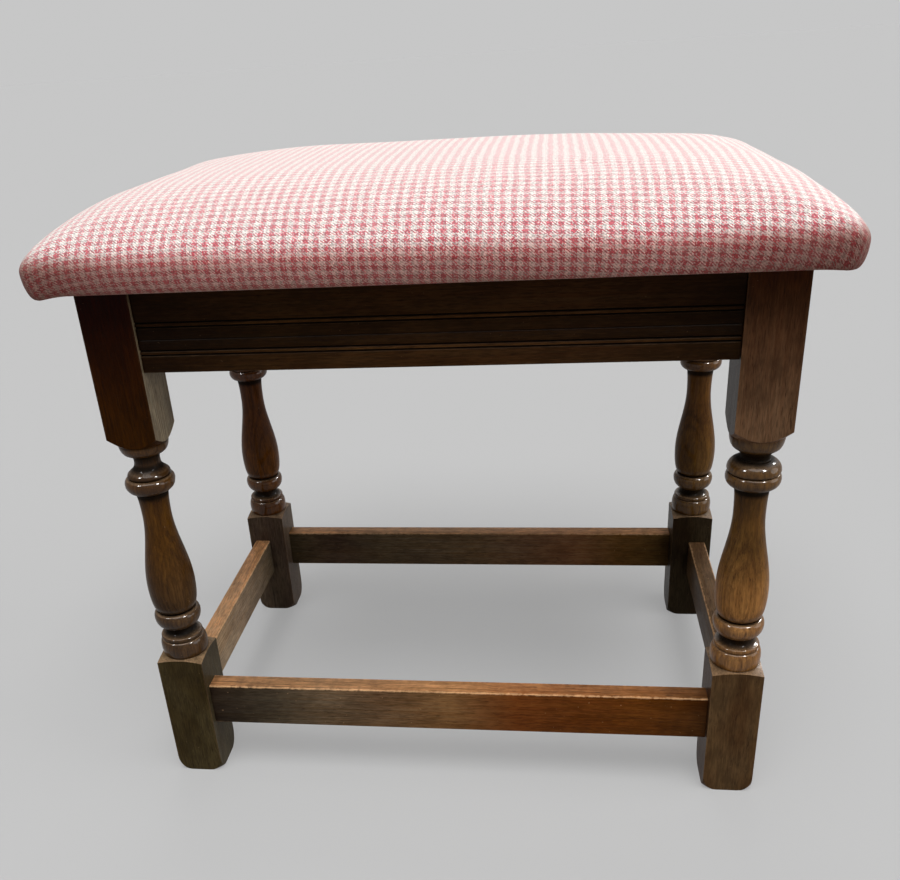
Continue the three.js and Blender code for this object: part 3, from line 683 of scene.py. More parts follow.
def legLine(turning, square, height, aboveName):
    steps = turning["arcSteps"]
    corner = square / math.sqrt(2)
    blank = corner + turning["blankAllowance"]
    below, above = turning["below"], turning[aboveName]
    rootRadius, shoulderRadius = below[0][2] * mm, above[-1][3] * mm
    footSlope = turning["footShoulder"] / (corner - rootRadius)
    postSlope = turning["postShoulder"] / (corner - shoulderRadius)
    used = sum(member[1] for member in below + above) * mm
    sway = height - turning["footBlock"] - turning["topBlock"] - used
    sway -= turning["footShoulder"] + turning["postShoulder"]
    clipRadius, clipHeight = turning["footClip"]
    line = [(0, 0), (clipRadius, 0)]
    addQuarter(line, corner, clipHeight, True, turning["clipSteps"])
    line.append((blank, clipHeight + turning["blankAllowance"]))
    line.append((blank, turning["footBlock"] - footSlope * turning["blankAllowance"]))
    line.append((rootRadius, turning["footBlock"] + turning["footShoulder"]))
    for member in below:
        addMember(line, member, steps)
    bellyHeight = line[-1][1]
    for i in range(1, turning["vaseSteps"] + 1):
        share = i / turning["vaseSteps"]
        drawn = (1 - math.cos(math.pi * share)) / 2
        radius = turning["bellyRadius"] + (turning["neckRadius"] - turning["bellyRadius"]) * drawn
        line.append((radius, bellyHeight + sway * share))
    for member in above:
        addMember(line, member, steps)
    postFoot = height - turning["topBlock"]
    line.append((blank, postFoot + postSlope * turning["blankAllowance"]))
    line += [(blank, height), (0, height)]
    return line


def spinLine(name, line, steps):
    piece = drawLine(name, [(radius, 0, z) for radius, z in line])
    bpy.ops.mesh.select_all(action="SELECT")
    bpy.ops.mesh.spin(steps=steps, angle=math.tau, center=(0, 0, 0), axis=(0, 0, 1), dupli=False)
    bpy.ops.object.mode_set(mode="OBJECT")
    return outwards(piece)


def easedBar(name, square, height, easing, steps):
    bar = addBlock(name, (-square / 2, -square / 2, 0), (square / 2, square / 2, height))
    bpy.ops.object.mode_set(mode="EDIT")
    bpy.ops.mesh.select_all(action="DESELECT")
    work = bmesh.from_edit_mesh(bar.data)
    for edge in work.edges:
        a, b = (vertex.co for vertex in edge.verts)
        edge.select_set(abs(a.z - b.z) > height / 2)
    bmesh.update_edit_mesh(bar.data)
    bpy.ops.mesh.bevel(offset=easing, segments=steps, affect="EDGES")
    bpy.ops.object.mode_set(mode="OBJECT")
    return bar


def crowding(points, line, square, turning):  # 1 deep in a quirk, 0 on a crest: old polish in the quirks, painted shade down the beads' flanks
    radii = np.minimum([radius for radius, level in line], square / 2)
    heights = np.array([level for radius, level in line])
    around = np.linspace(-turning["grimeReach"], turning["grimeReach"], turning["grimeSteps"])
    profile = np.interp(points[:, 2][:, None] + around[None, :], heights, radii)
    depth = profile.max(1) - np.hypot(points[:, 0], points[:, 1])
    return np.clip(depth / turning["grimeDepth"], 0, 1) ** turning["flankShadePower"]


def makeTurnedLeg(name, turning, square, height, aboveName):
    line = legLine(turning, square, height, aboveName)
    leg = spinLine(name, line, turning["spinSteps"])
    bar = easedBar("squareBar", square, height, turning["easing"], turning["easingSteps"])
    leg = cutOrJoin(leg, bar, "INTERSECT")
    smoothShade(leg)
    points = cornersOf(leg)
    keepVector(leg, "acrossPlace", points)
    keepValue(leg, "hollow", crowding(points, line, square, turning))
    if aboveName == "aboveFrontLeft":
        lean, *heights = turning["slimLean"]
        points[:, 0] -= np.interp(points[:, 2], heights, (0, lean, lean, 0))
        setPoints(leg, points)
    return leg


def finishLeg(leg, points, turning, place, height):  # grain, tints and where it is turned or scuffed
    turnedLow = turning["footBlock"] + turning["footShoulder"]
    turnedHigh = height - turning["topBlock"] - turning["postShoulder"]
    level = points[:, 2]
    onTurning = (level > turnedLow) & (level < turnedHigh)
    foot, postLow, postTop, belly, neck = (np.array(tint) for tint in turning["tints"][place])
    # the post darkens towards its head under the seat: painted shade
    rise = np.clip((level - turnedHigh) / (height - turnedHigh), 0, 1)[:, None]
    post = postLow * (1 - rise) + postTop * rise
    up = np.interp((level - turnedLow) / (turnedHigh - turnedLow), turning["neckFrom"], (0, 1))[:, None]
    turn = math.radians(turning["grainTurns"][place])
    pith = np.array([math.cos(turn), math.sin(turn), 0]) * turning["pithAway"]
    keepVector(leg, "grainPlace", points - pith + [0, 0, turn * turning["grainShift"]])
    tints = np.where((level < turnedHigh)[:, None], foot, post)
    cornerTints = tints[loopCorners(leg)]
    # painted light on the inward faces: a reflection on the front left leg, shade on the front right leg
    if place in turning["innerPaintedLight"]:
        footInner, postInner = (np.array(tint) for tint in turning["innerPaintedLight"][place])
        inward = 1 if place.endswith("left") else -1
        for face in leg.data.polygons:
            if face.normal.x * inward > turning["innerFacing"]:
                own = footInner if face.center.z < turnedHigh else postInner
                cornerTints[face.loop_start:face.loop_start + face.loop_total] = own
    keepVector(leg, "tint", cornerTints, "CORNER")
    onVase = (level > turning["vaseHeights"][0]) & (level < turning["vaseHeights"][1])
    beads = np.where(onVase, 1, turning["beadShares"][place])[:, None]
    keepVector(leg, "turnedTint", (belly * (1 - up) + neck * up) * beads)
    keepValue(leg, "handled", onTurning)
    keepValue(leg, "polished", onTurning * np.where(onVase, turning["vasePolish"], 1))
    keepValue(leg, "scuffed", (level <= turnedLow) * turning["footScuffs"])
    keepValue(leg, "rubbingAndTopLight", np.ones(len(points)))


def makeLegs(turning, material):
    low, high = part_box("leg_front_left")
    square, height = high.x - low.x, high.z
    plain = makeTurnedLeg("turnedLeg", turning, square, height, "above")
    slim = makeTurnedLeg("slimLeg", turning, square, height, "aboveFrontLeft")
    for place in turning["tints"]:
        low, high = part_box(f"leg_{place}")
        middle = (low + high) / 2
        leg = slim if place == "front_left" else plain
        twin = copyPiece(leg, f"leg{titled(place)}", Matrix.Translation((middle.x, middle.y, 0)))
        finishLeg(twin, cornersOf(leg), turning, place, height)
        finishPiece(twin, "dark_oak", material, f"leg_{place}")
    bpy.data.objects.remove(plain)
    bpy.data.objects.remove(slim)


makeLegs(legTurning, legOak)
print("stage: legs")


# Moulded rails and plain stretchers: a section drawn across the bar and pulled along it
railSection = {
    "setback": 2.4 * mm,  # behind the leg's face
    "thickness": 20 * mm,
    "rounding": 1.1 * mm,
    "grooves": [  # height over the lower edge, width, depth
        (12.6, 1.9, 1.6), (15.8, 1.9, 1.6), (23.6, 1.4, 0.5), (32.4, 1.9, 1.6), (35.6, 1.9, 1.6)],
    "paintedShading": [(14.2, 1.4, 1.6), (24.1, 15, 0.55), (34, 1.4, 1.6)],  # height, width, tone: painted highlight on the beads, painted shade on the band
    "grimeDepth": 0.7 * mm,  # from here down a groove is full of old polish
    "tenon": (10 * mm, 8 * mm, 12 * mm),  # thickness, shoulder under, shoulder over
    "alongSteps": 30,
    "scuffed": 0,
    "tints": {  # from the left end to the right end
        "front": (
            (0.3, 0.26, 0.22), (0.66, 0.62, 0.5), (0.8, 0.74, 0.62), (0.72, 0.66, 0.6), (0.29, 0.26, 0.19)),
        "right": ((0.8, 0.8, 0.8),), "rear": ((0.9, 0.9, 0.9),), "left": ((0.8, 0.8, 0.8),),
    },
    "rubbingAndTopLight": {"front": (1,), "right": (1,), "rear": (1,), "left": (1,)},  # how far the top is rubbed pale and painted lit
}
stretcherSection = {
    "setback": 5.6 * mm,
    "thickness": 15.8 * mm,
    "rounding": 1.5 * mm,
    "grooves": [],
    "paintedShading": [],
    "tenon": (8 * mm, 5 * mm, 5 * mm),
    "alongSteps": 30,
    "scuffed": 0.2,
    # from the left end to the right end; the left one's pale grey inner face is a painted reflection of the
    # side light, the right one's darker face painted shade, and the front one darker beside the legs, partly
    # painted shade
    "tints": {
        "front": ((0.11, 0.13, 0.2), (0.3, 0.45, 0.65), (0.64, 0.84, 1.1), (0.66, 0.72, 0.78),
                  (0.92, 0.9, 0.75), (0.68, 0.36, 0.13), (0.55, 0.28, 0.06), (0.56, 0.3, 0.04),
                  (0.24, 0.14, 0.04)),
        "right": ((0.42, 0.46, 0.5),),
        "rear": ((0.4, 0.45, 0.3), (0.83, 0.79, 0.45), (1.42, 1.32, 1.4), (1.14, 1.28, 1.6),
                 (0.88, 1.1, 1.3), (0.76, 1.05, 1.4), (0.61, 0.85, 1.1), (0.41, 0.48, 0.7),
                 (0.34, 0.5, 0.6)),
        "left": ((0.3, 0.45, 0.65), (1.55, 2.1, 2.9), (1.7, 2.35, 3.1)),
    },
    "rubbingAndTopLight": {"front": (0.7, 0.72, 0.15), "right": (0.05,), "rear": (1.1,), "left": (1.1, 1.1, 1.0)},
}
shoulderGap = 0.3 * mm
tenonOverlap = 1 * mm  # how far a tenon starts inside its bar
grooveShares = (1.0, 0.72, 0.36, 0.0, -0.36, -0.72, -1.0)  # points across a groove, in half widths
sideTurns = {"front": 0, "right": 1, "rear": 2, "left": 3}  # quarter turns from the front
grainStart = (0.031, 0.017, 0)  # where the front bars lie in the tree, and the step to the next bar
grainStep = (0, 0.09, 1.3)


def roundedCorner(middle, radius, start, steps=4):
    angles = [math.radians(start + 90 * i / steps) for i in range(steps + 1)]
    return [(middle[0] + radius * math.cos(a), middle[1] + radius * math.sin(a)) for a in angles]


def barOutline(section, low, high):  # (across, up) points round a bar, its face at low across
    r = section["rounding"]
    (a0, z0), (a1, z1) = low, high
    points = roundedCorner((a0 + r, z0 + r), r, 180)
    points += roundedCorner((a1 - r, z0 + r), r, 270)
    points += roundedCorner((a1 - r, z1 - r), r, 0)
    points += roundedCorner((a0 + r, z1 - r), r, 90)
    for height, width, depth in reversed(section["grooves"]):
        for share in grooveShares:
            sunk = (1 + math.cos(math.pi * share)) / 2
            points.append((a0 + depth * mm * sunk, z0 + (height + width / 2 * share) * mm))
    return points


def alongBar(places, stations):  # values given at even stations from the left end, one or more numbers each
    stations = np.array(stations, float).reshape(len(stations), -1)
    ends = np.linspace(-1, 1, len(stations)) if len(stations) > 1 else [0]
    return np.stack([np.interp(places, ends, column) for column in stations.T], 1)


def barShape(name, section, outline, half, tenonEnd, low, high):
    bar = drawLine(name, [(-half, across, level) for across, level in outline])
    bpy.ops.mesh.select_all(action="SELECT")
    bpy.ops.mesh.edge_face_add()
    step = half * 2 / section["alongSteps"]
    for _ in range(section["alongSteps"]):
        bpy.ops.mesh.extrude_region_move(TRANSFORM_OT_translate={"value": (step, 0, 0)})
    bpy.ops.object.mode_set(mode="OBJECT")
    outwards(bar)
    tenonThick, tenonFoot, tenonTop = section["tenon"]
    middle = section["setback"] + section["thickness"] / 2
    for side in (-1, 1):
        ends = sorted((side * (half - tenonOverlap), side * tenonEnd))
        tenon = addBlock("tenon", (ends[0], middle - tenonThick / 2, low + tenonFoot),
                         (ends[1], middle + tenonThick / 2, high - tenonTop))
        cutOrJoin(bar, tenon, "UNION")
    return smoothShade(bar, 40)


def finishBar(bar, section, side, half, low, high):  # grain, tints with their painted shading, grime in the grooves and the rubbed and painted-lit top
    points = cornersOf(bar)
    depth, rise = points[:, 1] - section["setback"], points[:, 2] - low
    onFace = depth < section["thickness"] / 2
    hollow = np.zeros(len(points))
    for height, width, _ in section["grooves"]:
        inside = onFace & (np.abs(rise - height * mm) < width * mm / 2)
        hollow = np.where(inside, np.clip(depth / section["grimeDepth"], 0, 1), hollow)
    tints = alongBar(points[:, 0] / half, section["tints"][side])
    # painted highlight on the beads between the grooves, painted shade on the band between the pairs
    for height, width, tone in section["paintedShading"]:
        tints[onFace & (np.abs(rise - height * mm) <= width * mm / 2)] *= tone
    shift = np.array(grainStart) + np.array(grainStep) * sideTurns[side]
    across = [depth - section["thickness"] / 2, rise - (high - low) / 2, points[:, 0]]
    keepVector(bar, "acrossPlace", np.stack(across, 1))
    keepVector(bar, "grainPlace", np.stack([depth, rise, points[:, 0]], 1) + shift)
    keepVector(bar, "tint", tints)
    keepValue(bar, "hollow", hollow)
    keepValue(bar, "scuffed", np.full(len(points), section["scuffed"]))
    keepValue(bar, "rubbingAndTopLight", alongBar(points[:, 0] / half, section["rubbingAndTopLight"][side])[:, 0])


def makeBars(prefix, section, slotName, material):
    legLow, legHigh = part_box("leg_front_left")
    square = legHigh.x - legLow.x
    face = section["setback"]
    for side, turn in sideTurns.items():  # each is drawn as the front one and turned to its side
        low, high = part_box(f"{prefix}_{side}")
        lengthwise = turn % 2 == 0
        start, out, tenonEnd = (legLow.x, legLow.y, high.x) if lengthwise else (legLow.y, legLow.x, high.y)
        half = -start - square - shoulderGap
        outline = barOutline(section, (face, low.z), (face + section["thickness"], high.z))
        bar = barShape(f"{prefix}{side.title()}", section, outline, half, tenonEnd, low.z, high.z)
        finishBar(bar, section, side, half, low.z, high.z)
        turned = Matrix.Rotation(math.pi / 2 * turn, 4, "Z") @ Matrix.Translation((0, out, 0))
        bar.data.transform(turned)
        finishPiece(bar, slotName, material, f"{prefix}_{side}")


makeBars("rail", railSection, "dark_oak", railOak)
makeBars("stretcher", stretcherSection, "worn_oak", stretcherOak)
print("stage: rails and stretchers")


# Houndstooth check: a two and two twill of six dark and six pale threads each way
weaveDrift = {  # lumps per metre and how far the threads stray, the slow way and the quick way
    "slow": (38.0, 3 * mm),
    "quick": (900.0, 0.6 * mm),
}


def makeHoundstooth(drift):
    tree, given, gives = startGroup(
        "houndstooth",
        [("Map", "NodeSocketVector", None), ("Column", "NodeSocketFloat", 0.0072),
         ("Row", "NodeSocketFloat", 0.0057), ("Threads", "NodeSocketFloat", 12)],
        [("Crimson", "NodeSocketFloat"), ("Height", "NodeSocketFloat"), ("Yarn", "NodeSocketFloat")])
    moved = given["Map"]
    for scale, reach in drift.values():
        lumps = noiseAt(tree, given["Map"], scale, output="Color")
        stray = vectorCalc(tree, "SUBTRACT", lumps, (0.5, 0.5, 0.5))
        moved = vectorCalc(tree, "ADD", moved, vectorCalc(tree, "MULTIPLY", stray, (reach, reach, 0)))
    parts = partsOf(tree, moved)
    threads = given["Threads"]
    across = times(tree, calc(tree, "DIVIDE", parts["X"], given["Column"]), threads)
    along = times(tree, calc(tree, "DIVIDE", parts["Y"], given["Row"]), threads)
    warp, weft = calc(tree, "FLOOR", across), calc(tree, "FLOOR", along)
    half = calc(tree, "MULTIPLY_ADD", threads, 0.5, -0.5)
    darkWarp = calc(tree, "LESS_THAN", calc(tree, "FLOORED_MODULO", warp, threads), half)
    darkWeft = calc(tree, "LESS_THAN", calc(tree, "FLOORED_MODULO", weft, threads), half)
    over = calc(tree, "LESS_THAN", calc(tree, "FLOORED_MODULO", calc(tree, "ADD", warp, weft), 4.0), 1.5)
    under = calc(tree, "SUBTRACT", 1.0, over)
    crimson = calc(tree, "ADD", times(tree, darkWarp, over), times(tree, darkWeft, under))
    ridge = []
    for value in (across, along):
        centred = calc(tree, "MULTIPLY_ADD", calc(tree, "FRACT", value), 2.0, -1.0)
        ridge.append(calc(tree, "SUBTRACT", 1.0, calc(tree, "POWER", calc(tree, "ABSOLUTE", centred), 2.0)))
    sunk = times(tree, times(tree, ridge[1], under), 0.5)  # the weft lies lower: twill lines
    height = calc(tree, "ADD", times(tree, ridge[0], over), sunk)
    warpCell = addNode(tree, "ShaderNodeTexWhiteNoise", {"W": warp}, noise_dimensions="1D").outputs["Value"]
    weftCell = addNode(tree, "ShaderNodeTexWhiteNoise", {"W": calc(tree, "ADD", weft, 0.5)},
                       noise_dimensions="1D").outputs["Value"]
    yarn = calc(tree, "ADD", times(tree, warpCell, over), times(tree, weftCell, under))
    wire(tree, gives, Crimson=crimson, Height=height, Yarn=yarn)
    return tree


houndstooth = makeHoundstooth(weaveDrift)
clothLook = {
    "crimson": (0.58, 0.026, 0.058, 1),
    "crimsonPale": (0.80, 0.125, 0.18, 1),
    "cream": (0.98, 0.98, 0.95, 1),
    "creamDark": (0.95, 0.80, 0.75, 1),
    "fleck": (1.0, 0.96, 0.92, 1),  # pale tips of wool standing out of the weave
    "fleckFade": (0.54, 0.68, 0.0, 0.75),
    # a brown cast in the painted shade under the widest line
    "dustAndShade": (0.42, 0.30, 0.26, 1),
    "underShadeBrownDepth": 0.2,
    "paintedUnderShade": (0.76, 0.53, 0.50, 1),  # painted shade under the widest line, where the cloth turns away from the overhead light
    "underShadeHeights": (438 * mm, 451 * mm),
    "paintedEndShade": (0.55, 0.48, 0.45, 1),  # painted shade, darker still towards both ends
    "endShadeFrom": (130 * mm, 270 * mm),
    "column": 7.22 * mm,
    "row": 5.7 * mm,
    "slope": 0.036,  # rows that run slightly off the edge, and their bow
    "bow": 0.095,
    "threads": (0.58, 1.3),  # painted shade between the threads and painted highlight on their tops
    "nubs": (0.66, 1.28),  # darkest and palest of the lumps in the wool: painted shade where low, painted highlight where high
    "threadFade": (0.1, 1.0),
    "nubFade": (0.36, 0.64),
    "nubNoise": (560.0, 1.0, 0.6),  # lumps per metre, detail, roughness
    "tipNoise": (680.0, 1.0, 0.5),
    "fluffNoise": (1500.0, 3.0, 0.7),
    "patchNoise": (60.0, 3.0, 0.6),
    "patchFade": (0.42, 0.7, 0.0, 0.12),
    "crimsonFade": (0.35, 0.75),
    "creamFade": (0.4, 0.7),
    "yarnFade": (0.0, 1.0, 0.86, 1.08),
    "nubRelief": 1.6,
    "fluffRelief": 0.5,
    "relief": 0.13 * mm,
    "paintedSheen": (0.80, 0.79, 0.74, 1),  # painted sheen, pale where the cloth is seen edge on, over cream and over crimson
    "paintedSheenCrimson": (0.82, 0.63, 0.62, 1),
    "paintedSheenDepth": 0.76,
    "paintedSheenPower": 0.9,
}


def makeCheckCloth(look):
    material, tree, shader = startMaterial("checkCloth", Roughness=0.95, Specular_IOR_Level=0.1,
                                           Sheen_Weight=0.12, Sheen_Roughness=0.4)
    clothMap = addNode(tree, "ShaderNodeUVMap", uv_map="clothMap").outputs["UV"]
    parts = partsOf(tree, clothMap)
    bow = times(tree, parts["X"], calc(tree, "MULTIPLY_ADD", parts["X"], look["bow"], look["slope"]))
    bowed = calc(tree, "ADD", parts["Y"], bow)
    clothMap = addNode(tree, "ShaderNodeCombineXYZ", {0: parts["X"], 1: bowed}).outputs[0]
    weave = placeGroup(tree, houndstooth, {"Map": clothMap, "Column": look["column"], "Row": look["row"]})
    fluff = noiseAt(tree, clothMap, *look["fluffNoise"])
    nubs = noiseAt(tree, clothMap, *look["nubNoise"])
    tips = noiseAt(tree, vectorCalc(tree, "ADD", clothMap, (3.7, 1.9, 0)), *look["tipNoise"])
    patch = noiseAt(tree, clothMap, *look["patchNoise"])
    lint = fadeBetween(tree, fluff, *look["crimsonFade"])
    red = mixColour(tree, lint, look["crimson"], look["crimsonPale"])
    pale = mixColour(tree, fadeBetween(tree, fluff, *look["creamFade"]), look["creamDark"], look["cream"])
    checked = mixColour(tree, weave["Crimson"], pale, red)
    yarnTone = fadeBetween(tree, weave["Yarn"], *look["yarnFade"])
    # painted shade between the threads and on the lower weft, painted highlight on the thread tops
    paintedThreadShade = fadeBetween(tree, weave["Height"], *look["threadFade"], *look["threads"])
    yarnToneAndThreadShade = times(tree, yarnTone, paintedThreadShade)
    lumpy = times(tree, yarnToneAndThreadShade, fadeBetween(tree, nubs, *look["nubFade"], *look["nubs"]))
    toned = multiplied(tree, checked, greyOf(tree, lumpy))
    flecked = mixColour(tree, fadeBetween(tree, tips, *look["fleckFade"]), toned, look["fleck"])
    faded = mixColour(tree, fadeBetween(tree, patch, *look["patchFade"]), flecked, look["cream"])
    edgeOn = addNode(tree, "ShaderNodeLayerWeight", {"Blend": 0.5}).outputs["Facing"]  # painted sheen: paler where the cloth is seen edge on
    paintedSheenShare = times(tree, calc(tree, "POWER", edgeOn, look["paintedSheenPower"]), look["paintedSheenDepth"])
    paintedSheen = mixColour(tree, weave["Crimson"], look["paintedSheen"], look["paintedSheenCrimson"])
    withPaintedSheen = mixColour(tree, paintedSheenShare, faded, paintedSheen)
    place = partsOf(tree, objectPlace(tree))
    # painted shade: darker under the widest line and towards both ends, with a brown cast
    low = fadeBetween(tree, place["Z"], *look["underShadeHeights"], 1.0, 0.0)
    ends = fadeBetween(tree, calc(tree, "ABSOLUTE", place["X"]), *look["endShadeFrom"])
    dustyAndShaded = mixColour(tree, times(tree, low, look["underShadeBrownDepth"]), withPaintedSheen, look["dustAndShade"])
    paintedShaded = mixColour(tree, low, dustyAndShaded, look["paintedUnderShade"], "MULTIPLY")
    paintedShaded = mixColour(tree, times(tree, low, ends), paintedShaded, look["paintedEndShade"], "MULTIPLY")
    fluffy = calc(tree, "MULTIPLY_ADD", fluff, look["fluffRelief"], weave["Height"])
    height = calc(tree, "MULTIPLY_ADD", nubs, look["nubRelief"], fluffy)
    wire(tree, shader.inputs, Base_Color=paintedShaded, Normal=bumpFrom(tree, height, look["relief"], 0.9))
    return material


checkCloth = makeCheckCloth(clothLook)


# Seat: the padded form is one formula, used for the cover and for the foam under it
seatForm = {
    "cornerRadius": 8 * mm,
    "sideHeight": 17.2 * mm,
    "tuck": 5 * mm,
    "rollWidth": 78 * mm,
    "rollHeight": 40.5 * mm,
    "rollPower": 1.72,
    "rollEase": 0.3,  # over what share of the roll it runs into the crown, and from where
    "rollEaseFrom": 0.45,
    "crownPower": 1.8,
    "hills": [  # where the stuffing stands higher or lower: place, reach and height in mm
        ((-228, -100), (30, 45), 1.5), ((-130, 90), (60, 60), 1.7), ((170, 95), (66, 60), -2.3),
        ((243, -70), (14, 30), 1.2)],
    "hillFade": 16 * mm,
    "hemWidth": 34 * mm,
    "hemAllowance": 1.2 * mm,  # cloth that the rounded lower edge takes up
    "coverThickness": 1.2 * mm,
    "foamGap": 0.3 * mm,  # between the foam and its cover
    "foamFoot": 1 * mm,  # how much narrower the foam is at its foot
    "hemSteps": 7,
    "sideSteps": 7,
    "rollSteps": 20,
    "crownSteps": 14,
    "cornerSteps": 10,
    "alongSteps": 44,
    "throughSteps": 28,
    "arcSteps": 90,
    "droopStart": 243 * mm,  # the lower edge hangs where no leg is under it
    "droopRun": 13 * mm,
    "leftDroop": 2.4 * mm,
    "rightDroop": 1.1 * mm,
    "slack": 1.5 * mm,  # how much smaller the cover is before it swells
    "slackFade": 20 * mm,
    "swellLow": 0.2 * mm,  # how far it may stay under its form, and how far over it
    "swellCap": 0.7 * mm,
    "pressure": 4,
    "stiffness": 40,
    "clothQuality": 6,
    "swellFrames": 20,
}


def seatSizes(form):
    low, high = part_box("seat_cover")
    return {**form, "length": high.x - low.x, "depth": high.y - low.y, "foot": low.z,
            "widest": low.z + form["sideHeight"],
            "crown": high.z - low.z - form["sideHeight"] - form["rollHeight"]}


# How far inside the widest line a place lies. The corners round as the inset grows, so that there it
# solves (a + 2 * inset) ** 2 + (b + 2 * inset) ** 2 = (radius + inset) ** 2
def insetAt(seat, x, y):
    radius = seat["cornerRadius"]
    a = np.abs(x) - seat["length"] / 2 + radius
    b = np.abs(y) - seat["depth"] / 2 + radius
    straight = np.minimum(radius - a, radius - b)
    linear = 4 * (a + b) - 2 * radius
    rest = a * a + b * b - radius * radius
    rounded = (-linear + np.sqrt(np.maximum(linear * linear - 28 * rest, 0))) / 14
    inCorner = (a + 2 * rounded > 0) & (b + 2 * rounded > 0)
    return np.where(inCorner, np.minimum(rounded, straight), straight)


def stuffingHeight(seat, x, y):
    total = 0
    for (placeX, placeY), (reachX, reachY), height in seat["hills"]:
        away = ((x / mm - placeX) / reachX) ** 2 + ((y / mm - placeY) / reachY) ** 2
        total = total + height * mm * np.exp(-away)
    return total


def domeHeight(seat, x, y):
    inset = insetAt(seat, x, y)
    share = np.clip(inset / seat["rollWidth"], 0, 2)
    spread = seat["rollEase"] * np.clip((share - seat["rollEaseFrom"]) / seat["rollEaseFrom"], 0, 1)
    power = seat["rollPower"]
    rise = 0
    for step in (-1, -0.5, 0, 0.5, 1):  # a mean over nearby insets, so that the roll runs into the crown
        nearby = np.clip(share + spread * step, 0, 1)
        rise = rise + seat["rollHeight"] / 5 * (1 - (1 - nearby) ** power) ** (1 / power)
    alongLength = np.clip(1 - (np.abs(x) * 2 / seat["length"]) ** seat["crownPower"], 0, 1)
    alongDepth = np.clip(1 - (np.abs(y) * 2 / seat["depth"]) ** seat["crownPower"], 0, 1)
    hills = stuffingHeight(seat, x, y) * np.clip(inset / seat["hillFade"], 0, 1)
    return seat["widest"] + rise + seat["crown"] * alongLength * alongDepth + hills


def ringAt(seat, inset):  # plan points of the widest line drawn in by an inset, and their outward normals
    radius = min(seat["cornerRadius"] + inset, seat["depth"] / 2 - inset)
    halfX, halfY = seat["length"] / 2 - inset - radius, seat["depth"] / 2 - inset - radius
    corners = [(1, 1), (-1, 1), (-1, -1), (1, -1)]
    points = []
    for k, (sx, sy) in enumerate(corners):
        for i in range(seat["cornerSteps"] + 1):
            angle = math.pi / 2 * (k + i / seat["cornerSteps"])
            out = (math.cos(angle), math.sin(angle))
            points.append((sx * halfX + radius * out[0], sy * halfY + radius * out[1], *out))
        nx, ny = corners[(k + 1) % 4]
        end = points[-1]
        following = (nx * halfX + radius * end[2], ny * halfY + radius * end[3])
        steps = seat["alongSteps"] if sx == sy else seat["throughSteps"]
        for i in range(1, steps):
            share = i / steps
            points.append((end[0] + (following[0] - end[0]) * share,
                           end[1] + (following[1] - end[1]) * share, end[2], end[3]))
    return np.array(points)


def arcAlong(seat, x, y, alongX):  # length of the thread over the dome, from the middle line to the place
    shares = np.sin(np.linspace(0, math.pi / 2, seat["arcSteps"]))
    walkX = x[:, None] * shares if alongX else np.repeat(x[:, None], len(shares), 1)
    walkY = np.repeat(y[:, None], len(shares), 1) if alongX else y[:, None] * shares
    heights = domeHeight(seat, walkX, walkY)
    flat = np.diff(walkX if alongX else walkY, axis=1)
    length = np.hypot(flat, np.diff(heights, axis=1)).sum(1)
    return np.sign(x if alongX else y) * length


def clothPlaces(seat, ring):
    return np.column_stack([arcAlong(seat, ring[:, 0], ring[:, 1], alongX) for alongX in (True, False)])


def domeRings(seat):  # plan points and heights from just above the widest line to the middle
    rings = []
    for i in range(1, seat["rollSteps"] + 1):
        inset = seat["rollWidth"] * (1 - math.cos(math.pi / 2 * i / seat["rollSteps"]))
        rings.append(ringAt(seat, inset)[:, :2])
    last = rings[-1]
    for i in range(1, seat["crownSteps"]):
        rings.append(last * (1 - i / seat["crownSteps"]))
    return [np.column_stack([ring, domeHeight(seat, ring[:, 0], ring[:, 1])]) for ring in rings]


def meshFromRings(name, rings, endPoint, startPoint=None):
    count = len(rings[0])
    points = [tuple(point) for ring in rings for point in ring] + [tuple(endPoint)]
    faces = []
    for r in range(len(rings) - 1):
        for k in range(count):
            n = (k + 1) % count
            faces.append((r * count + k, r * count + n, (r + 1) * count + n, (r + 1) * count + k))
    top = len(rings) * count
    faces += [((len(rings) - 1) * count + k, (len(rings) - 1) * count + (k + 1) % count, top)
              for k in range(count)]
    if startPoint is not None:
        points.append(tuple(startPoint))
        faces += [((k + 1) % count, k, top + 1) for k in range(count)]
    data = bpy.data.meshes.new(name)
    data.from_pydata(points, [], faces)
    return addObject(name, data)


def narrowed(seat, plan, inward):
    return plan * [1 - inward * 2 / seat["length"], 1 - inward * 2 / seat["depth"]]


def edgeDroop(seat, x):
    beyond = np.clip((np.abs(x) - seat["droopStart"]) / seat["droopRun"], 0, 1)
    return beyond * beyond * (3 - 2 * beyond) * np.where(x < 0, seat["leftDroop"], seat["rightDroop"])


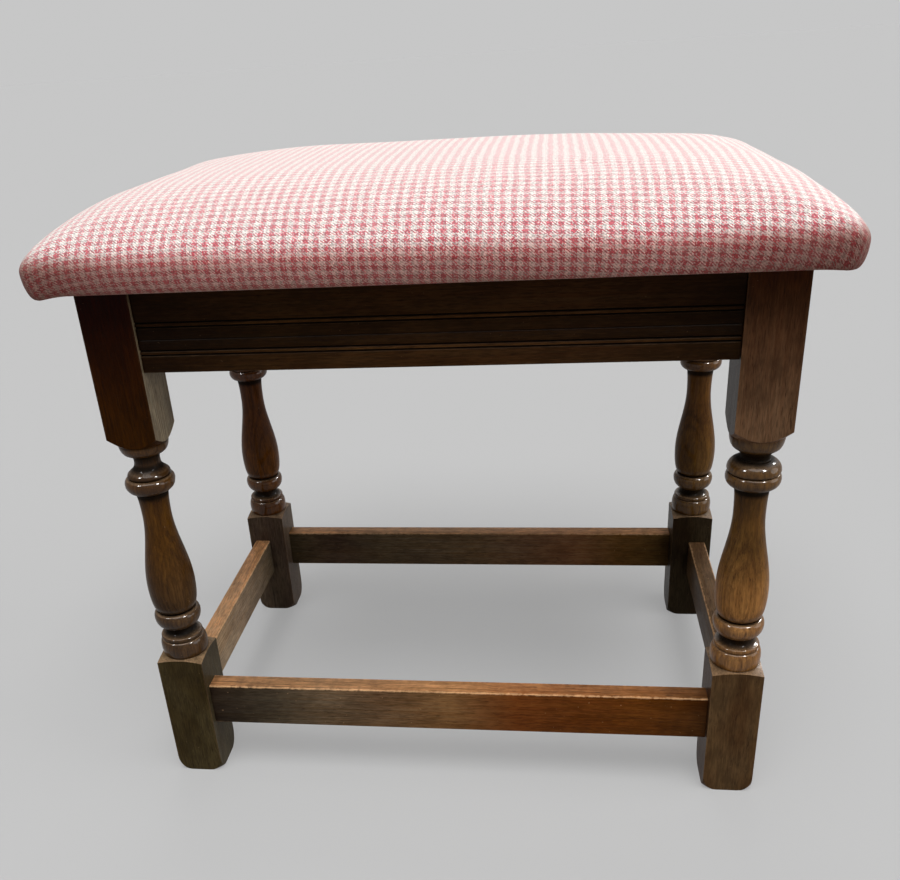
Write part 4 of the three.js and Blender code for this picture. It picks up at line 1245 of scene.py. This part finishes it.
def coverSkin(seat):  # the cover before it swells: its mesh, its cloth map and how many points stay held
    widest = ringAt(seat, 0)
    plan, out = widest[:, :2], widest[:, 2:]
    rings, drops = [], []
    for i in range(seat["hemSteps"]):  # under the board, from the hem's edge out to the lower edge
        inward = seat["tuck"] + seat["hemWidth"] * (1 - i / seat["hemSteps"])
        ring = narrowed(seat, plan, inward)
        rings.append(np.column_stack([ring, seat["foot"] - edgeDroop(seat, ring[:, 0])]))
        drops.append(seat["sideHeight"] + seat["hemAllowance"] + inward - seat["tuck"])
    for i in range(seat["sideSteps"] + 1):
        angle = math.pi / 2 * i / seat["sideSteps"]
        inward = seat["tuck"] * (1 - math.sin(angle))
        rise = 1 - math.cos(angle)
        ring = narrowed(seat, plan, inward)
        level = seat["foot"] + seat["sideHeight"] * rise
        rings.append(np.column_stack([ring, level - edgeDroop(seat, ring[:, 0]) * (1 - rise)]))
        drops.append(math.hypot(inward, seat["widest"] - level))
    dome = domeRings(seat)
    edgeMap = clothPlaces(seat, plan)
    maps = [edgeMap + out * drop for drop in drops] + [clothPlaces(seat, ring) for ring in dome]
    top = (0, 0, seat["widest"] + seat["rollHeight"] + seat["crown"])
    cover = meshFromRings("seatCover", rings + dome, top)
    maps = np.concatenate(maps + [np.zeros((1, 2))])
    layer = cover.data.uv_layers.new(name="clothMap")
    layer.data.foreach_set("uv", maps[loopCorners(cover)].astype(np.float32).ravel())
    return cover, len(rings) * len(plan)


def swellCover(cover, seat, heldCount):  # air pressure under the cloth, the edge held, the movement capped
    form = cornersOf(cover).astype(float)
    normals = np.empty(form.size, np.float32)
    cover.data.vertices.foreach_get("normal", normals)
    normals = normals.reshape(-1, 3)
    inset = insetAt(seat, form[:, 0], form[:, 1])
    slack = seat["slack"] * np.clip(inset / seat["slackFade"], 0, 1)
    slack[:heldCount] = 0
    setPoints(cover, form - normals * slack[:, None])
    group = cover.vertex_groups.new(name="held")
    group.add(list(range(heldCount)), 1.0, "REPLACE")
    pickUp(cover)
    modifier = cover.modifiers.new("Cloth", "CLOTH")
    cloth = modifier.settings
    cloth.vertex_group_mass = "held"
    cloth.quality = seat["clothQuality"]
    cloth.tension_stiffness = cloth.compression_stiffness = seat["stiffness"]
    cloth.use_pressure = True
    cloth.uniform_pressure_force = seat["pressure"]
    cloth.effector_weights.gravity = 0
    modifier.point_cache.frame_start, modifier.point_cache.frame_end = 1, seat["swellFrames"]
    for frameNumber in range(1, seat["swellFrames"] + 1):
        bpy.context.scene.frame_set(frameNumber)
    bpy.ops.object.modifier_apply(modifier="Cloth")
    bpy.context.scene.frame_set(1)
    cover.vertex_groups.clear()
    outward = ((cornersOf(cover) - form) * normals).sum(1)
    print(f"cover stands {outward.mean() / mm:.2f} mm over its form, {outward.max() / mm:.2f} mm at most")
    outward = np.clip(outward, -seat["swellLow"], seat["swellCap"])
    outward[:heldCount] = 0
    setPoints(cover, form + normals * outward[:, None])


def makeCover(form, material):
    seat = seatSizes(form)
    cover, heldCount = coverSkin(seat)
    swellCover(cover, seat, heldCount)
    applyModifier(cover, "SUBSURF", levels=1, render_levels=1)
    applyModifier(cover, "SOLIDIFY", thickness=seat["coverThickness"], offset=-1)
    smoothShade(cover, 60)
    finishPiece(cover, "check_cloth", material, "seat_cover")


def makeFoam(form, material):
    seat = seatSizes(form)
    inset = seat["coverThickness"] + seat["foamGap"]
    low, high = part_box("seat_pad")
    widest = narrowed(seat, ringAt(seat, 0)[:, :2], inset)
    rings = [np.column_stack([narrowed(seat, widest, seat["foamFoot"]), np.full(len(widest), low.z)]),
             np.column_stack([widest, np.full(len(widest), seat["widest"])])]
    for ring in domeRings(seat):
        rings.append(np.column_stack([narrowed(seat, ring[:, :2], inset), ring[:, 2] - inset]))
    foam = meshFromRings("foamPad", rings, (0, 0, high.z), (0, 0, low.z))
    smoothShade(foam, 50)
    finishPiece(foam, "foam", material, "seat_pad")


foamLook = {
    "fresh": (0.72, 0.62, 0.36, 1),
    "aged": (0.62, 0.5, 0.26, 1),
    "paintedPitShade": (0.42, 0.33, 0.16, 1),
    "cellScale": 700.0,
}


def makeFoamLook(look):
    material, tree, shader = startMaterial("foamCream", Roughness=0.95)
    place = objectPlace(tree)
    scaled = {"Vector": place, "Scale": look["cellScale"]}
    cells = addNode(tree, "ShaderNodeTexVoronoi", scaled).outputs["Distance"]
    tone = mixColour(tree, noiseAt(tree, place, 22.0, 3.0), look["fresh"], look["aged"])
    # painted shade in the foam's cells
    pitted = mixColour(tree, fadeBetween(tree, cells, 0.15, 0.5, 0.5, 0.0), tone, look["paintedPitShade"])
    wire(tree, shader.inputs, Base_Color=pitted, Normal=bumpFrom(tree, cells, 0.4 * mm))
    return material


makeCover(seatForm, checkCloth)
makeFoam(seatForm, makeFoamLook(foamLook))
print("stage: seat cover and foam")


# Underside: the lining cloth, the tacks and the hidden wood and steel
liningCut = {
    "flat": (452.8 * mm, 260.8 * mm),
    "steps": (80, 46),
    "thickness": 0.5 * mm,
    "looseHalf": (165 * mm, 75 * mm),  # the part that hangs free between the rails
    "sag": 2.2 * mm,
    "pucker": 0.3 * mm,
    "ripple": (19 * mm, 23 * mm, 41 * mm),  # lengths of the puckers along, across, and of their sway
}


def makeLining(cut, material):
    low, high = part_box("bottom_lining")
    deselectAll()
    bpy.ops.mesh.primitive_grid_add(x_subdivisions=cut["steps"][0], y_subdivisions=cut["steps"][1], size=1,
                                    location=(low + high) / 2)
    lining = named(bpy.context.object, "bottomLining")
    lining.scale = (*cut["flat"], 1)
    settle(lining)
    points = cornersOf(lining)
    x, y = points[:, 0], points[:, 1]
    halfX, halfY = cut["looseHalf"]
    loose = np.clip(1 - (x / halfX) ** 2, 0, 1) * np.clip(1 - (y / halfY) ** 2, 0, 1)
    along, across, sway = cut["ripple"]
    waves = np.sin(x / along + 2 * np.sin(y / sway)) * np.sin(y / across + 1.3)
    points[:, 2] -= loose * cut["sag"] + np.sqrt(loose) * cut["pucker"] * waves
    setPoints(lining, points)
    applyModifier(lining, "SOLIDIFY", thickness=cut["thickness"], offset=0)
    smoothShade(lining, 50)
    finishPiece(lining, "lining_cloth", material, "bottom_lining")


liningLook = {
    "black": (0.013, 0.012, 0.014, 1), "faded": (0.028, 0.026, 0.028, 1), "paintedGapShade": (0.006, 0.006, 0.007, 1),
    "dustAndShade": (0.09, 0.08, 0.07, 1), "dustFade": (0.5, 0.75, 0.0, 0.3),
    "threadTurns": 5200.0,  # radians of weave per metre
}


def makeLiningLook(look):
    material, tree, shader = startMaterial("blackCambric", Roughness=0.9, Sheen_Weight=0.2)
    place = objectPlace(tree)
    threads = []
    for axis in ("X", "Y"):
        wave = calc(tree, "SINE", times(tree, partsOf(tree, place)[axis], look["threadTurns"]))
        threads.append(calc(tree, "MULTIPLY_ADD", wave, 0.5, 0.5))
    weave = calc(tree, "MAXIMUM", threads[0], threads[1])
    tone = mixColour(tree, noiseAt(tree, place, 35.0, 3.0), look["black"], look["faded"])
    dustAndShade = fadeBetween(tree, noiseAt(tree, place, 9.0, 4.0), *look["dustFade"])
    dustyAndShaded = mixColour(tree, dustAndShade, tone, look["dustAndShade"])
    # painted shade in the gaps between the threads
    wire(tree, shader.inputs, Base_Color=mixColour(tree, weave, look["paintedGapShade"], dustyAndShaded),
         Normal=bumpFrom(tree, weave, 0.15 * mm))
    return material


steelLooks = {  # bright colour, stained colour, roughness
    "blueTackSteel": ((0.09, 0.09, 0.10, 1), (0.035, 0.03, 0.03, 1), 0.35),
    "screwSteel": ((0.42, 0.40, 0.36, 1), (0.20, 0.15, 0.10, 1), 0.3),
}


def makeSteel(name, bright, dark, roughness):
    material, tree, shader = startMaterial(name, Metallic=1.0)
    place = objectPlace(tree)
    stain = fadeBetween(tree, noiseAt(tree, place, 900.0, 3.0, 0.6), 0.42, 0.62)
    wire(tree, shader.inputs, Base_Color=mixColour(tree, stain, bright, dark),
         Roughness=calc(tree, "MULTIPLY_ADD", stain, 0.2, roughness), Normal=bumpFrom(tree, stain, 0.03 * mm))
    return material


tackShape = {
    "spinSteps": 20,
    "head": [  # radius and height in mm
        (0, 0), (1.1, 0.04), (2.1, 0.2), (2.75, 0.48), (3, 0.78), (2.9, 0.9), (0.8, 0.9)],
    "shank": 0.8 * mm,
    "point": 2 * mm,
}


def makeTacks(shape, material):
    low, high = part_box("hem_tack_1")
    height = high.z - low.z
    line = [(radius * mm, level * mm) for radius, level in shape["head"]]
    line += [(shape["shank"], height - shape["point"]), (0, height)]
    tack = smoothShade(spinLine("tack", line, shape["spinSteps"]), 40)
    for node in sorted(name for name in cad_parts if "_tack_" in name):
        low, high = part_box(node)
        place = Matrix.Translation(((low.x + high.x) / 2, (low.y + high.y) / 2, low.z))
        family, _, number = node.split("_")
        finishPiece(copyPiece(tack, f"{family}Tack{number}", place), "tack_steel", material, node)
    bpy.data.objects.remove(tack)


pineLook = {
    "pale": (0.55, 0.36, 0.18, 1), "ring": (0.36, 0.19, 0.08, 1), "ringDepth": 0.8,
    "cloud": (0.30, 0.19, 0.10, 1), "pore": (0.18, 0.1, 0.05, 1), "poreDepth": 0.35,
    "ringWidth": 4 * mm, "warp": 4 * mm, "pith": (0.05, 0.02, 0),
    "turns": {"front_left": 45, "rear_right": 45, "front_right": -45, "rear_left": -45},  # degrees
}


def makeSoftwood(name, look, turn):  # the grain runs level, across the corner
    material, tree, shader = startMaterial(name, Specular_IOR_Level=0.25)
    turned = {"Vector": objectPlace(tree), "Rotation": (0, 0, math.radians(turn))}
    level = addNode(tree, "ShaderNodeMapping", turned).outputs[0]
    laid = {"Vector": level, "Rotation": (0, math.radians(-90), 0), "Location": look["pith"]}
    place = addNode(tree, "ShaderNodeMapping", laid).outputs[0]
    grain = grainOf(tree, place, look)
    colour = mixColour(tree, times(tree, grain["Rings"], look["ringDepth"]), look["pale"], look["ring"])
    colour = mixColour(tree, fadeBetween(tree, grain["Cloud"], 0.4, 0.7, 0.0, 0.5), colour, look["cloud"])
    colour = mixColour(tree, times(tree, grain["Pores"], look["poreDepth"]), colour, look["pore"])
    wire(tree, shader.inputs, Base_Color=colour,
         Roughness=calc(tree, "MULTIPLY_ADD", grain["Streaks"], 0.3, 0.5),
         Normal=bumpFrom(tree, grain["Streaks"], 0.12 * mm))
    return material


plyLook = {
    "pale": (0.50, 0.34, 0.18, 1), "brown": (0.34, 0.21, 0.10, 1), "glue": (0.2, 0.11, 0.05, 1),
    "glueDepth": 0.4, "layer": 1.6 * mm, "stretch": (12, 260, 40),
}


def makePlywood(look):
    material, tree, shader = startMaterial("plywood", Roughness=0.7)
    place = objectPlace(tree)
    count = calc(tree, "FLOOR", calc(tree, "DIVIDE", partsOf(tree, place)["Z"], look["layer"]))
    layer = calc(tree, "FLOORED_MODULO", count, 2.0)
    veneer = mixColour(tree, stretchedNoise(tree, place, look["stretch"], 4.0), look["pale"], look["brown"])
    colour = mixColour(tree, times(tree, layer, look["glueDepth"]), veneer, look["glue"])
    wire(tree, shader.inputs, Base_Color=colour)
    return material


def coatNodes(prefix, material):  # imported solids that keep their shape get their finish
    for name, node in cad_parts.items():
        if name.startswith(prefix):
            node.data.materials.clear()
            node.data.materials.append(material)


makeLining(liningCut, makeLiningLook(liningLook))
makeTacks(tackShape, makeSteel("blueTackSteel", *steelLooks["blueTackSteel"]))
screwSteel = makeSteel("screwSteel", *steelLooks["screwSteel"])
coatNodes("block_screw", screwSteel)
coatNodes("seat_screw", screwSteel)
for corner, turn in pineLook["turns"].items():
    coatNodes(f"corner_block_{corner}", makeSoftwood(f"pine{titled(corner)}", pineLook, turn))
coatNodes("seat_board", makePlywood(plyLook))
print("stage: underside")
